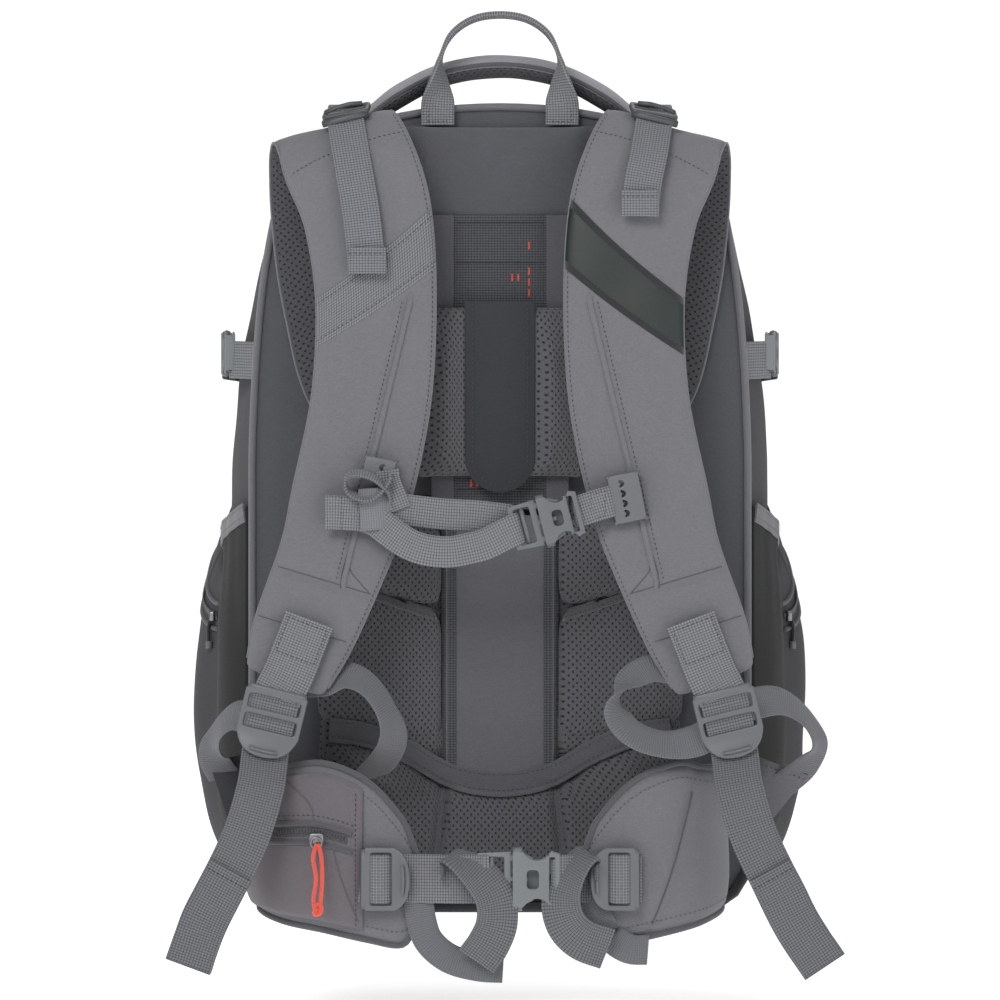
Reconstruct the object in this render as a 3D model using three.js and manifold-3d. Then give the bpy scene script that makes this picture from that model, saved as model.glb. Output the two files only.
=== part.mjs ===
// A ski and touring backpack with an adjustable back length, seen as an assembly of sewn panels,
// foam pads, webbing and plastic hardware. Millimetres, +Z up, the wearer's side faces -Y.
// The origin is the middle of the flat underside of the base.
import * as THREE from 'three';
import { mergeVertices } from 'three/addons/utils/BufferGeometryUtils.js';
import Module from 'manifold-3d';

// ---------------------------------------------------------------- driving dimensions

const BODY = {
  halfWidth: 162, // half width of the back panel
  top: 530, // top of the arch
  base: 4.2, // underside of the bottom panel, above the base boot
  corner: 32, // radius of the bottom corners
  straightTop: 300, // where the straight sides end
  shoulderX: 143, // where the side turns into the arch
  shoulderZ: 475,
  depth: 150, // back panel to front panel
  wall: 3,
  bulge: 20, // how far a packed side swells
};
const BACK = -BODY.depth / 2; // wearer's face of the back panel
const FRONT = BODY.depth / 2;
const GAP = 0.4; // clearance between pieces that touch
const SEAM = 1; // clearance between a panel and the wall sewn to its edge
const OUTLINE_STEPS = 4; // points per curve of the body outline

const WEBBING = { thick: 1.6, shoulder: 30, hip: 30, chest: 20, side: 25 };
const LADDER_LOCK = { width: 40, height: 44, hipHeight: 31, thick: 4, bar: 4, slot: 7, rim: 3.4 };
const PAD = { thick: 12, edge: 3 };

const SKIN = BACK - GAP; // back face of the pads that lie on the back panel
const LADDER_Y = BACK - 12.8; // the size ladder, in front of the rear strap pads
const PAD_FACE = BACK - 13.6; // back face of the upper pad
const TAIL_Y = BACK - 124; // plane of the hanging strap ends
const SHOULDER_LOCK = { x: 141.5, y: BACK - 98, z: 148, lean: 0.24 };
const HIP_LOCK = { x: 84, y: BACK - 101, z: 32 };
// socket length, height, thickness and wall; plug thickness, frame length and how far its arms reach in
const HIP_BUCKLE = { length: 30, height: 35, thick: 9.5, wall: 1.1, plug: 2, frame: 22, reach: 13 };
const HIP_MOUTH_X = 8; // where the hip plug goes into its socket
const HIP_ZIP = { x: -116, y: BACK - 106, z: 58 };
const CHEST = { x: 26, y: BACK - 88, z: 258, lean: 0.25 };
const CHEST_BUCKLE = { length: 26, height: 30, thick: 8, wall: 1.2, plug: 2.4, frame: 19, reach: 15 };
const SIDE_BUCKLE = { length: 22, height: 28, thick: 7, wall: 1, plug: 2.4, frame: 14, reach: 12 };
const SIDE_STRAP = { z: 370, mouth: -36, out: 5, travel: 18 };
const MAIN_ZIP = { y: 44, z: 330 };
const FRONT_ZIP = { x: -90, z: 372 };

// ---------------------------------------------------------------- materials

const fabric = (colour) => new THREE.MeshStandardMaterial({ color: colour, roughness: 0.9, metalness: 0 });
const MATERIALS = {
  shell: fabric(0x74747a),
  panel: fabric(0x5b5c61),
  mesh: fabric(0x4a4a4e),
  webbing: fabric(0x7a7a7e),
  stretch: fabric(0x3a3b3e),
  boot: new THREE.MeshStandardMaterial({ color: 0x2c2c2c, roughness: 0.7, metalness: 0 }),
  plastic: new THREE.MeshStandardMaterial({ color: 0x7a7e82, roughness: 0.45, metalness: 0 }),
  zip: new THREE.MeshStandardMaterial({ color: 0x8a8a8c, roughness: 0.35, metalness: 0.8 }),
  alloy: new THREE.MeshStandardMaterial({ color: 0xb4b6ba, roughness: 0.4, metalness: 1 }),
  sheet: new THREE.MeshStandardMaterial({ color: 0x1d1d1f, roughness: 0.6, metalness: 0 }),
  orange: fabric(0xf0503c),
};

// ---------------------------------------------------------------- helpers

const v2 = (x, y) => new THREE.Vector2(x, y);
const v3 = (x, y, z) => new THREE.Vector3(x, y, z);
const lerp = THREE.MathUtils.lerp;
const smooth = THREE.MathUtils.smoothstep;
const mirror = (points, side) => points.map((p) => v3(p.x * side, p.y, p.z));
const flip = (p) => v2(-p.x, p.y);
const X_AXIS = v3(1, 0, 0);
const SIDES = [['left', -1], ['right', 1]];

function named(name, material, geometry) {
  const mesh = new THREE.Mesh(geometry, MATERIALS[material]);
  mesh.name = name;
  return mesh;
}

// One closed surface from two matching grids of points, (nu + 1) x (nv + 1) each.
function closedGrid(front, back, nu, nv) {
  const positions = [...front, ...back].flatMap((p) => [p.x, p.y, p.z]);
  const offset = front.length;
  const at = (i, j) => i * (nv + 1) + j;
  const index = [];
  const quad = (a, b, c, d) => index.push(a, b, c, a, c, d);
  for (let i = 0; i < nu; i++) {
    for (let j = 0; j < nv; j++) {
      quad(at(i, j), at(i + 1, j), at(i + 1, j + 1), at(i, j + 1));
      quad(offset + at(i, j), offset + at(i, j + 1), offset + at(i + 1, j + 1), offset + at(i + 1, j));
    }
  }
  const rim = (a, b) => quad(a, b, offset + b, offset + a);
  for (let i = 0; i < nu; i++) {
    rim(at(i + 1, 0), at(i, 0));
    rim(at(i, nv), at(i + 1, nv));
  }
  for (let j = 0; j < nv; j++) {
    rim(at(0, j), at(0, j + 1));
    rim(at(nu, j + 1), at(nu, j));
  }
  const geometry = new THREE.BufferGeometry();
  geometry.setAttribute('position', new THREE.Float32BufferAttribute(positions, 3));
  geometry.setIndex(index);
  return geometry;
}

// A curved sheet given by surface(u, v), thickened evenly about it.
// thickness is a number or a function of (u, v).
function sheet(surface, thickness, nu, nv) {
  const STEP = 1e-3;
  const front = [];
  const back = [];
  for (let i = 0; i <= nu; i++) {
    for (let j = 0; j <= nv; j++) {
      const u = i / nu;
      const v = j / nv;
      const du = surface(Math.min(u + STEP, 1), v).sub(surface(Math.max(u - STEP, 0), v));
      const dv = surface(u, Math.min(v + STEP, 1)).sub(surface(u, Math.max(v - STEP, 0)));
      const half = (typeof thickness === 'function' ? thickness(u, v) : thickness) / 2;
      const normal = du.cross(dv).normalize().multiplyScalar(half);
      const p = surface(u, v);
      front.push(p.clone().add(normal));
      back.push(p.clone().sub(normal));
    }
  }
  return closedGrid(front, back, nu, nv);
}

const smoothCurve = (points) => new THREE.CatmullRomCurve3(points, false, 'centripetal');

// Flat webbing along a smooth curve through points. across is the direction of its width.
function ribbon(points, width, across, steps, thick = WEBBING.thick) {
  const curve = smoothCurve(points);
  const unit = across.clone().normalize();
  const surface = (u, v) => curve.getPoint(u).addScaledVector(unit, (v - 0.5) * width);
  return sheet(surface, thick, steps, 1);
}

// A round cord along a curve, capped at both ends.
function cord(curve, radius, steps, sides) {
  const frames = curve.computeFrenetFrames(steps, false);
  const positions = [];
  for (let i = 0; i <= steps; i++) {
    const centre = curve.getPointAt(i / steps);
    for (let k = 0; k < sides; k++) {
      const angle = (2 * Math.PI * k) / sides;
      const p = centre.clone();
      p.addScaledVector(frames.normals[i], radius * Math.cos(angle));
      p.addScaledVector(frames.binormals[i], radius * Math.sin(angle));
      positions.push(p.x, p.y, p.z);
    }
  }
  const index = [];
  for (let i = 0; i < steps; i++) {
    const next = i + 1;
    for (let k = 0; k < sides; k++) {
      const l = (k + 1) % sides;
      index.push(i * sides + k, i * sides + l, next * sides + l);
      index.push(i * sides + k, next * sides + l, next * sides + k);
    }
  }
  for (let k = 1; k < sides - 1; k++) {
    index.push(0, k + 1, k);
    index.push(steps * sides, steps * sides + k, steps * sides + k + 1);
  }
  const geometry = new THREE.BufferGeometry();
  geometry.setAttribute('position', new THREE.Float32BufferAttribute(positions, 3));
  geometry.setIndex(index);
  return geometry;
}

// A flat plate: a shape drawn in X and Z, extruded from y0 to y1, with softened edges if bevel is given.
function plate(shape, y0, y1, bevel = 0) {
  const geometry = new THREE.ExtrudeGeometry(shape, {
    depth: y1 - y0 - 2 * bevel,
    bevelEnabled: bevel > 0,
    bevelThickness: bevel,
    bevelSize: bevel,
    bevelOffset: -bevel,
    bevelSegments: 1,
    curveSegments: 3,
  });
  return geometry.rotateX(Math.PI / 2).translate(0, y1 - bevel, 0);
}

function roundedRect(x0, z0, x1, z1, r) {
  const s = new THREE.Shape();
  s.moveTo(x0 + r, z0);
  s.lineTo(x1 - r, z0).absarc(x1 - r, z0 + r, r, -Math.PI / 2, 0, false);
  s.lineTo(x1, z1 - r).absarc(x1 - r, z1 - r, r, 0, Math.PI / 2, false);
  s.lineTo(x0 + r, z1).absarc(x0 + r, z1 - r, r, Math.PI / 2, Math.PI, false);
  s.lineTo(x0, z0 + r).absarc(x0 + r, z0 + r, r, Math.PI, 1.5 * Math.PI, false);
  return s;
}

// A closed flat outline through corners given as [x, z]. mirrorPoints keeps it anticlockwise.
const polygon = (points) => new THREE.Shape(points.map(([x, z]) => v2(x, z)));
const mirrorPoints = (points, side) => {
  const turned = points.map(([x, z]) => [x * side, z]);
  return side < 0 ? turned.reverse() : turned;
};

const wasm = await Module();
wasm.setup();

function toSolid(geometry) {
  const bare = geometry.index ? geometry.clone() : geometry;
  bare.deleteAttribute('normal');
  bare.deleteAttribute('uv');
  const merged = mergeVertices(bare, 1e-4);
  const vertProperties = new Float32Array(merged.attributes.position.array);
  const triVerts = new Uint32Array(merged.index.array);
  return new wasm.Manifold(new wasm.Mesh({ numProp: 3, vertProperties, triVerts }));
}

// The first geometry with all the others taken away.
function cut(geometry, ...tools) {
  let solid = toSolid(geometry);
  for (const tool of tools) solid = solid.subtract(toSolid(tool));
  const { vertProperties, triVerts } = solid.getMesh();
  const result = new THREE.BufferGeometry();
  result.setAttribute('position', new THREE.Float32BufferAttribute(vertProperties, 3));
  result.setIndex(new THREE.BufferAttribute(triVerts, 1));
  return result;
}

// ---------------------------------------------------------------- body outline

// The right half of the body's outline, from bottom centre to top centre, moved in by inset.
function rightHalf(inset) {
  const w = BODY.halfWidth - inset;
  const r = BODY.corner - inset;
  const base = BODY.base + inset;
  const top = BODY.top - inset;
  const shoulder = v2(BODY.shoulderX - 0.85 * inset, BODY.shoulderZ - 0.5 * inset);
  const path = new THREE.Path();
  path.moveTo(0, base);
  path.lineTo(w - r, base);
  path.absarc(w - r, base + r, r, -Math.PI / 2, 0, false);
  path.lineTo(w, BODY.straightTop);
  path.bezierCurveTo(w - 2, 390, w - 9, 440, shoulder.x, shoulder.y);
  path.bezierCurveTo(shoulder.x - 15, shoulder.y + 40, 62, top, 0, top);
  return path.getPoints(OUTLINE_STEPS);
}
const CORNER_AT = 1; // index of the point where the bottom corner starts
const BOOT_END_AT = 8; // index after the last point the boot covers
const SHOULDER_AT = 2 + 3 * OUTLINE_STEPS; // index of the shoulder point

const leftHalf = (inset) => rightHalf(inset).map(flip);
const wholeOutline = (inset) => [...rightHalf(inset), ...leftHalf(inset).slice(1, -1).reverse()];

// How far the packed side stands out at height z, in the middle of the depth.
function bulgeAt(z) {
  const filled = smooth(z, BODY.base, 70);
  const narrowed = 1 - 0.65 * smooth(z, BODY.straightTop, BODY.shoulderZ);
  return BODY.bulge * filled * narrowed;
}

// The swollen wall that runs along an open stretch of outline points, pushed out by offset.
function wallSurface(points, offset) {
  const span = points.length - 1;
  const pointAt = (u) => {
    const at = Math.min(u * span, span - 1e-9);
    const i = Math.floor(at);
    return points[i].clone().lerp(points[i + 1], at - i);
  };
  return (u, v) => {
    const p = pointAt(u);
    const along = pointAt(Math.min(u + 1e-3, 1)).sub(pointAt(Math.max(u - 1e-3, 0))).normalize();
    const out = bulgeAt(p.y) * Math.sin(Math.PI * v) + offset;
    const y = lerp(BACK + BODY.wall + SEAM, FRONT - BODY.wall - SEAM, v);
    return v3(p.x + along.y * out, y, p.y - along.x * out);
  };
}

// Half width of the swollen body at height z and depth y.
function halfWidthAt(z, y) {
  const v = THREE.MathUtils.clamp((y - BACK) / BODY.depth, 0, 1);
  const arch = BODY.halfWidth - 19 * smooth(z, BODY.straightTop + 40, BODY.shoulderZ + 30);
  return arch + bulgeAt(z) * Math.sin(Math.PI * v);
}

// ---------------------------------------------------------------- bag

function bag() {
  const group = new THREE.Group();
  const inset = BODY.wall / 2;
  const right = rightHalf(inset);
  const left = leftHalf(inset);
  const panelShape = new THREE.Shape(wholeOutline(0));
  const wall = (name, points) => {
    group.add(named(name, 'shell', sheet(wallSurface(points, 0), BODY.wall, points.length - 1, 4)));
  };

  group.add(named('back_panel', 'panel', plate(panelShape, BACK, BACK + BODY.wall)));
  group.add(named('front_panel', 'shell', plate(panelShape, FRONT - BODY.wall, FRONT)));
  wall('side_gusset_right', right.slice(CORNER_AT, SHOULDER_AT + 1));
  wall('side_gusset_left', left.slice(CORNER_AT, SHOULDER_AT + 1).reverse());
  const seam = 0.02; // share of the first stretch left open beside each side wall
  const start = right[SHOULDER_AT].clone().lerp(right[SHOULDER_AT + 1], seam);
  const upper = right.slice(SHOULDER_AT + 1);
  const arch = [start, ...upper, ...upper.slice(0, -1).reverse().map(flip), flip(start)];
  wall('top_gusset', arch);
  return group;
}

function frame() {
  const group = new THREE.Group();
  const sheetFace = BACK + BODY.wall + GAP;
  const sheetThick = 2;
  const stay = { width: 26, thick: 3, low: 30, high: 470 };
  const shape = roundedRect(-118, 24, 118, 486, 36);
  group.add(named('frame_sheet', 'sheet', plate(shape, sheetFace, sheetFace + sheetThick)));
  const stayFace = sheetFace + sheetThick + GAP;
  const stayShape = roundedRect(-stay.width / 2, stay.low, stay.width / 2, stay.high, 6);
  group.add(named('frame_stay', 'alloy', plate(stayShape, stayFace, stayFace + stay.thick)));
  return group;
}

// The coated underside, which turns up round the bottom corners.
function baseBoot() {
  const thick = 3.4;
  const clear = 0.8;
  const right = rightHalf(0).slice(CORNER_AT, BOOT_END_AT);
  const points = [...right.map(flip).reverse(), v2(0, BODY.base), ...right];
  const surface = wallSurface(points, clear + thick / 2);
  return named('base_boot', 'boot', sheet(surface, thick, points.length - 1, 4));
}

// A pocket sewn to the lower front that wraps on to both sides.
function frontPocket() {
  const low = 30;
  const bothSides = (half) => {
    const right = half.map(([x, y]) => v3(x, y, 0));
    return smoothCurve([...mirror(right, -1), ...right.slice(0, -1).reverse()]);
  };
  const plan = bothSides([[188, 22], [207, 58], [186, 97], [105, 119], [0, 124]]);
  const seam = bothSides([[187, 22], [181, 52], [172, 80], [95, 81], [0, 81]]);
  const surface = (u, v) => {
    const edge = Math.abs(2 * u - 1);
    const high = lerp(306, 222, smooth(edge, 0.25, 0.95));
    const swell = Math.pow(Math.sin(Math.PI * lerp(0.035, 0.965, v)), 0.45);
    const p = seam.getPoint(u).lerp(plan.getPoint(u), swell);
    return v3(p.x, p.y, lerp(low, high, v));
  };
  return named('front_pocket', 'shell', sheet(surface, 2.4, 18, 8));
}

// Stretch pockets on the sides, open at the top.
function sidePockets() {
  const group = new THREE.Group();
  for (const [name, side] of SIDES) {
    const surface = (u, v) => {
      const along = side > 0 ? u : 1 - u;
      const y = lerp(BACK + 6, 12, along);
      const z = lerp(34, 268 - 46 * along, v);
      const full = 0.35 + 0.65 * Math.sin(Math.PI * Math.min(v + 0.1, 1));
      const swell = 9 * Math.sin(Math.PI * along) * full;
      return v3(side * (halfWidthAt(z, y) + 2.2 + swell), y, z);
    };
    group.add(named(`side_pocket_${name}`, 'stretch', sheet(surface, 1.6, 8, 6)));
  }
  return group;
}

// ---------------------------------------------------------------- back padding

// A quadrilateral with cut corners, listed anticlockwise.
function cutQuad(corners, cut = 8) {
  const points = corners.map(([x, z]) => v2(x, z));
  return points.flatMap((p, i) => {
    const towards = (q) => q.clone().sub(p).setLength(cut).add(p);
    return [towards(points[(i + 3) % 4]), towards(points[(i + 1) % 4])].map((q) => [q.x, q.y]);
  });
}

function backPads() {
  const group = new THREE.Group();
  const pad = (name, points, material = 'mesh', back = SKIN, thick = PAD.thick) => {
    group.add(named(name, material, plate(polygon(points), back - thick, back, PAD.edge)));
  };
  pad('top_pad', cutQuad([[-44, 457], [44, 457], [55, 521], [-55, 521]], 5), 'panel', SKIN, 11);
  for (const [name, side] of SIDES) {
    const middle = cutQuad([[42, 204], [112, 222], [112, 274], [42, 256]]);
    const lower = cutQuad([[42, 116], [116, 128], [116, 215], [42, 197]]);
    pad(`middle_pad_${name}`, mirrorPoints(middle, side));
    pad(`lower_pad_${name}`, mirrorPoints(lower, side));
  }
  pad('lumbar_pad', [
    [-104, 12], [104, 12], [112, 22], [117, 108], [108, 114], [75, 104], [46, 76],
    [-46, 76], [-75, 104], [-108, 114], [-117, 108], [-112, 22],
  ]);
  return group;
}

// The fixed strip between the pads, the curved band under it and the webbing that the tongue hooks on.
function spine() {
  const group = new THREE.Group();
  const cover = roundedRect(-39, 102, 39, 262, 3);
  group.add(named('spine_cover', 'panel', plate(cover, SKIN - 11, SKIN)));

  const middle = new THREE.Path();
  middle.moveTo(-112, 122);
  middle.bezierCurveTo(-62, 116, -48, 87, 0, 87);
  middle.bezierCurveTo(48, 87, 62, 116, 112, 122);
  const line = middle.getPoints(8);
  const half = 6.5;
  const lower = line.map((p) => v2(p.x, p.y - half));
  const upper = line.map((p) => v2(p.x, p.y + half));
  const band = new THREE.Shape([...lower, ...upper.reverse()]);
  group.add(named('lumbar_band', 'panel', plate(band, SKIN - 15.4, SKIN - 12.6)));

  const ladder = roundedRect(-39, 266, 39, 455, 1);
  group.add(named('size_ladder', 'webbing', plate(ladder, LADDER_Y - 0.4, LADDER_Y + 0.4)));
  return group;
}

// ---------------------------------------------------------------- harness

// Middle line of a right shoulder strap from the yoke, over the shoulder and down the front:
// x, distance in front of the back panel, z and width.
const STRAP_LINE = [
  [64, 8, 330, 92],
  [78, 8, 364, 94],
  [90, 8, 402, 88],
  [97, 8, 434, 86],
  [102, 9, 474, 88],
  [104, 13, 500, 92],
  [97, 28, 513, 96],
  [88, 45, 500, 92],
  [83, 52, 464, 80],
  [79, 57, 402, 77],
  [83, 63, 336, 76],
  [96, 70, 272, 75],
  [107, 75, 234, 69],
  [126, 81, 186, 64],
  [138, 85, 155, 52],
];
const STRAP_THICK = 9;
const RAIL = { top: v3(60, BACK - 63.6, 402), bottom: v3(98, BACK - 84.4, 214), radius: 2 };

function shoulderStraps() {
  const group = new THREE.Group();
  const line = STRAP_LINE.map(([x, out, z]) => v3(x, BACK - out, z));
  const centre = smoothCurve(line);
  const widths = new THREE.CatmullRomCurve3(STRAP_LINE.map((row) => v3(row[3], 0, 0)), false, 'catmullrom');
  const share = 1 / (line.length - 1);
  // the width runs level at the top and across the strap's slope on the front
  const wideAt = (u) => {
    const run = centre.getPoint(Math.min(u + share, 1)).sub(centre.getPoint(Math.max(u - share, 0)));
    const across = v3(-run.z, 0, run.x).normalize();
    return X_AXIS.clone().lerp(across, smooth(u, 0.55, 0.7)).normalize();
  };
  const thick = (u, v) => STRAP_THICK * (0.62 + 0.38 * Math.sin(Math.PI * v));
  for (const [name, side] of SIDES) {
    const surface = (u, v) => {
      const across = side > 0 ? v - 0.5 : 0.5 - v;
      const p = centre.getPoint(u).addScaledVector(wideAt(u), across * widths.getPoint(u).x);
      return v3(p.x * side, p.y, p.z);
    };
    group.add(named(`shoulder_strap_${name}`, 'shell', sheet(surface, thick, 28, 4)));
  }
  return group;
}

function harnessTrim() {
  const group = new THREE.Group();
  group.add(named('yoke', 'sheet', plate(roundedRect(-58, 312, 58, 424, 10), BACK - 3.2, BACK - 0.6)));
  const upperPad = cutQuad([[-62, 284], [62, 284], [52, 402], [-52, 402]], 6);
  group.add(named('upper_pad', 'mesh', plate(polygon(upperPad), PAD_FACE - 10, PAD_FACE, PAD.edge)));
  const fall = [v3(149, TAIL_Y, 100), v3(162, TAIL_Y - 1, 58), v3(178, TAIL_Y, 20), v3(199, TAIL_Y + 2, -26)];
  for (const [name, side] of SIDES) {
    const rail = new THREE.LineCurve3(...mirror([RAIL.top, RAIL.bottom], side));
    group.add(named(`chest_rail_${name}`, 'shell', cord(rail, RAIL.radius, 2, 8)));

    const across = v3(0.93, 0, side * 0.36);
    const tail = ribbon(mirror(fall, side), WEBBING.shoulder, across, 6);
    group.add(named(`strap_tail_${name}`, 'webbing', tail));
  }
  return group;
}

// The buckles that take the straps from the top of the bag to the shoulder straps.
function liftBuckles() {
  const group = new THREE.Group();
  const half = { x: 15, z: 9 };
  const slot = { half: 12.5, high: 3.6, from: 1.3 };
  const thick = 3.5;
  const at = { x: 100, y: BACK - 31, z: 525 };
  const tilt = { back: -1.2, inward: 0.2 };
  for (const [name, side] of SIDES) {
    const shape = roundedRect(-half.x, -half.z, half.x, half.z, 3);
    shape.holes.push(roundedRect(-slot.half, slot.from, slot.half, slot.from + slot.high, 0.8));
    shape.holes.push(roundedRect(-slot.half, -slot.from - slot.high, slot.half, -slot.from, 0.8));
    const buckle = named(`lift_buckle_${name}`, 'plastic', plate(shape, -thick / 2, thick / 2));
    buckle.position.set(side * at.x, at.y, at.z);
    buckle.rotation.set(tilt.back, side * -tilt.inward, 0, 'YXZ');
    group.add(buckle);
  }
  return group;
}

// ---------------------------------------------------------------- ladder locks

// A ladder lock lying in X and Z. Its fixed bar runs along X through the origin and its thumb tab hangs down.
function ladderLock(height) {
  const { width, bar, slot, rim, thick } = LADDER_LOCK;
  const half = width / 2;
  const tab = bar - height; // lowest point of the thumb tab
  const shape = new THREE.Shape();
  shape.moveTo(-half, bar - 3);
  shape.lineTo(-half, -height * 0.62);
  shape.quadraticCurveTo(-half * 0.8, tab, 0, tab);
  shape.quadraticCurveTo(half * 0.8, tab, half, -height * 0.62);
  shape.lineTo(half, bar - 3);
  shape.lineTo(half - 3, bar);
  shape.lineTo(3 - half, bar);
  const inner = half - rim;
  for (const top of [-bar / 2, -bar * 1.5 - slot]) {
    shape.holes.push(roundedRect(-inner, top - slot, inner, top, 1));
  }
  return plate(shape, -thick / 2, thick / 2);
}

function ladderLocks() {
  const group = new THREE.Group();
  for (const [name, side] of SIDES) {
    const shoulder = named(`shoulder_lock_${name}`, 'plastic', ladderLock(LADDER_LOCK.height));
    shoulder.position.set(side * SHOULDER_LOCK.x, SHOULDER_LOCK.y, SHOULDER_LOCK.z);
    shoulder.rotation.y = side * -SHOULDER_LOCK.lean;
    group.add(shoulder);

    const hip = named(`hip_lock_${name}`, 'plastic', ladderLock(LADDER_LOCK.hipHeight));
    hip.position.set(side * HIP_LOCK.x, HIP_LOCK.y, HIP_LOCK.z);
    hip.rotation.y = (side * Math.PI) / 2;
    group.add(hip);
  }
  return group;
}

// ---------------------------------------------------------------- tongue and handles

function tongue() {
  const half = 23;
  const end = 300;
  const shape = new THREE.Shape();
  shape.moveTo(-half, 402);
  shape.lineTo(-half, end);
  shape.absarc(0, end, half, Math.PI, 2 * Math.PI, false);
  shape.lineTo(half, 402);
  return named('size_tongue', 'panel', plate(shape, BACK - 27, BACK - 24.2));
}

function grabLoop() {
  const y = BACK - 8;
  const half = 42;
  const hook = 7; // half the level stretch that hangs on a hook
  const outline = [
    [half, 533], [half, 552], [half - 1, 564], [half - 10, 579], [half - 24, 588], [hook, 591],
  ];
  const right = outline.map(([x, z]) => v3(x, y, z));
  const points = [...mirror(right, -1), ...right.reverse()];
  const surface = (u, v) => {
    const at = u * (points.length - 1);
    const i = Math.min(Math.floor(at), points.length - 2);
    return points[i].clone().lerp(points[i + 1], at - i).add(v3(0, (0.5 - v) * 14, 0));
  };
  return named('grab_loop', 'webbing', sheet(surface, 3, points.length - 1, 1));
}

// The padded grip that arches over the top between the shoulder straps.
function topHandle() {
  const y = BACK + 18;
  const right = [v3(85, y, 529), v3(64, y, 540), v3(34, y, 555), v3(0, y, 560)];
  const points = [...mirror(right, -1), ...right.slice(0, -1).reverse()];
  return named('top_handle', 'shell', ribbon(points, 28, v3(0, -1, 0), 12, 10));
}

// ---------------------------------------------------------------- side-release buckles

// The socket, along X from its mouth at the origin to its webbing bar at +X.
// It is open through both sides for the arms.
function buckleSocket({ length, height, thick, wall }) {
  const half = height / 2;
  const side = 3;
  const outer = new THREE.Shape();
  outer.moveTo(0, -half);
  outer.lineTo(length * 0.3, -half);
  outer.quadraticCurveTo(length * 0.55, -half + 5, length * 0.8, -half);
  outer.lineTo(length, -half + 2);
  outer.lineTo(length, half - 2);
  outer.lineTo(length * 0.8, half);
  outer.quadraticCurveTo(length * 0.55, half - 5, length * 0.3, half);
  outer.lineTo(0, half);
  const hollow = thick / 2 - wall;
  const deep = length - 9;
  const inside = polygon([[-1, side - half], [deep, side - half], [deep, half - side], [-1, half - side]]);
  const cavity = plate(inside, -hollow, hollow);
  const windows = plate(roundedRect(length * 0.3, -half - 1, length * 0.62, half + 1, 1), -hollow, hollow);
  const slot = plate(roundedRect(length - 6.5, 3 - half, length - 3, half - 3, 1), -thick, thick);
  return cut(plate(outer, -thick / 2, thick / 2, 1), cavity, windows, slot);
}

// The plug, from its webbing frame on -X to two springy arms and a guide that reach into the socket.
function bucklePlug({ frame, height, reach, plug }) {
  const half = height / 2;
  const arm = { from: half - 7.6, to: half - 4.8 };
  const guide = 1.3;
  const face = -0.8; // the frame stops just short of the socket's mouth
  const tip = reach - 4;
  const shape = polygon([
    [-frame, 1 - half], [face, -half], [face, -arm.to], [reach, -arm.to], [reach, -arm.from],
    [face, -arm.from], [face, -guide], [tip, -guide], [tip, guide], [face, guide],
    [face, arm.from], [reach, arm.from], [reach, arm.to], [face, arm.to], [face, half], [-frame, half - 1],
  ]);
  shape.holes.push(roundedRect(3 - frame, 3 - half, -5, half - 3, 1));
  return plate(shape, -plug / 2, plug / 2);
}

// ---------------------------------------------------------------- chest strap

function chestStrap() {
  const group = new THREE.Group();
  const middle = new THREE.Group();
  middle.position.set(CHEST.x, CHEST.y, CHEST.z);
  middle.rotation.y = -CHEST.lean;
  middle.add(named('chest_buckle_socket', 'plastic', buckleSocket(CHEST_BUCKLE)));
  middle.add(named('chest_buckle_plug', 'plastic', bucklePlug(CHEST_BUCKLE)));
  group.add(middle);

  const { y } = CHEST;
  const sag = [v3(6, y - 5, 254), v3(-18, y - 6, 246), v3(-46, y - 6, 246), v3(-72, y - 4, 260)];
  group.add(named('chest_webbing', 'webbing', ribbon(sag, WEBBING.chest, v3(0, 0, 1), 8)));
  for (const [name, side, z] of [['left', -1, 284], ['right', 1, 274]]) {
    group.add(chestClip(name, side, z));
  }
  return group;
}

// A channel that slides on the rail, lying along it at height z.
function chestClip(name, side, z) {
  const channel = RAIL.radius + 0.5;
  const wall = 1.6;
  const front = -channel - 1.8;
  const back = 3 - channel;
  const inner = 17;
  const outer = 7;
  const half = 14;
  const profile = mirrorPoints([
    [-inner, front], [outer, front], [outer, -channel], [channel + wall, -channel],
    [channel + wall, back], [channel, back], [channel, -channel], [-channel, -channel],
    [-channel, back], [-channel - wall, back], [-channel - wall, -channel], [-inner, -channel],
  ], side);
  const solid = new THREE.ExtrudeGeometry(polygon(profile), { depth: 2 * half, bevelEnabled: false });
  const clip = named(`chest_clip_${name}`, 'plastic', solid.translate(0, 0, -half));

  const along = RAIL.bottom.clone().sub(RAIL.top).normalize();
  const run = v3(along.x * side, along.y, along.z).negate();
  const level = v3(0, 1, 0).cross(run).normalize();
  clip.quaternion.setFromRotationMatrix(new THREE.Matrix4().makeBasis(level, run.clone().cross(level), run));
  const centre = RAIL.top.clone().lerp(RAIL.bottom, (RAIL.top.z - z) / (RAIL.top.z - RAIL.bottom.z));
  clip.position.set(centre.x * side, centre.y, centre.z);
  return clip;
}

// ---------------------------------------------------------------- hip belt

// Right hip fin: x, distance in front of the back panel, lower edge and upper edge.
const FIN_LINE = [
  [127, 20, 22, 96],
  [148, 32, 16, 98],
  [157, 55, 12, 99],
  [140, 77, 8, 101],
  [112, 85, -2, 104],
  [84, 88, -8, 92],
  [62, 89, -11, 68],
  [47, 89, 0, 44],
];
const FIN_THICK = 10;

function finSurface(side) {
  const plan = smoothCurve(FIN_LINE.map(([x, out]) => v3(x * side, BACK - out, 0)));
  const heights = FIN_LINE.map(([, , low, high], i) => v3(i * 10, low, high));
  const edges = new THREE.CatmullRomCurve3(heights, false, 'catmullrom');
  return (u, v) => {
    const edge = edges.getPoint(u);
    const p = plan.getPoint(u);
    return v3(p.x, p.y, lerp(edge.y, edge.z, side > 0 ? v : 1 - v));
  };
}

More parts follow.
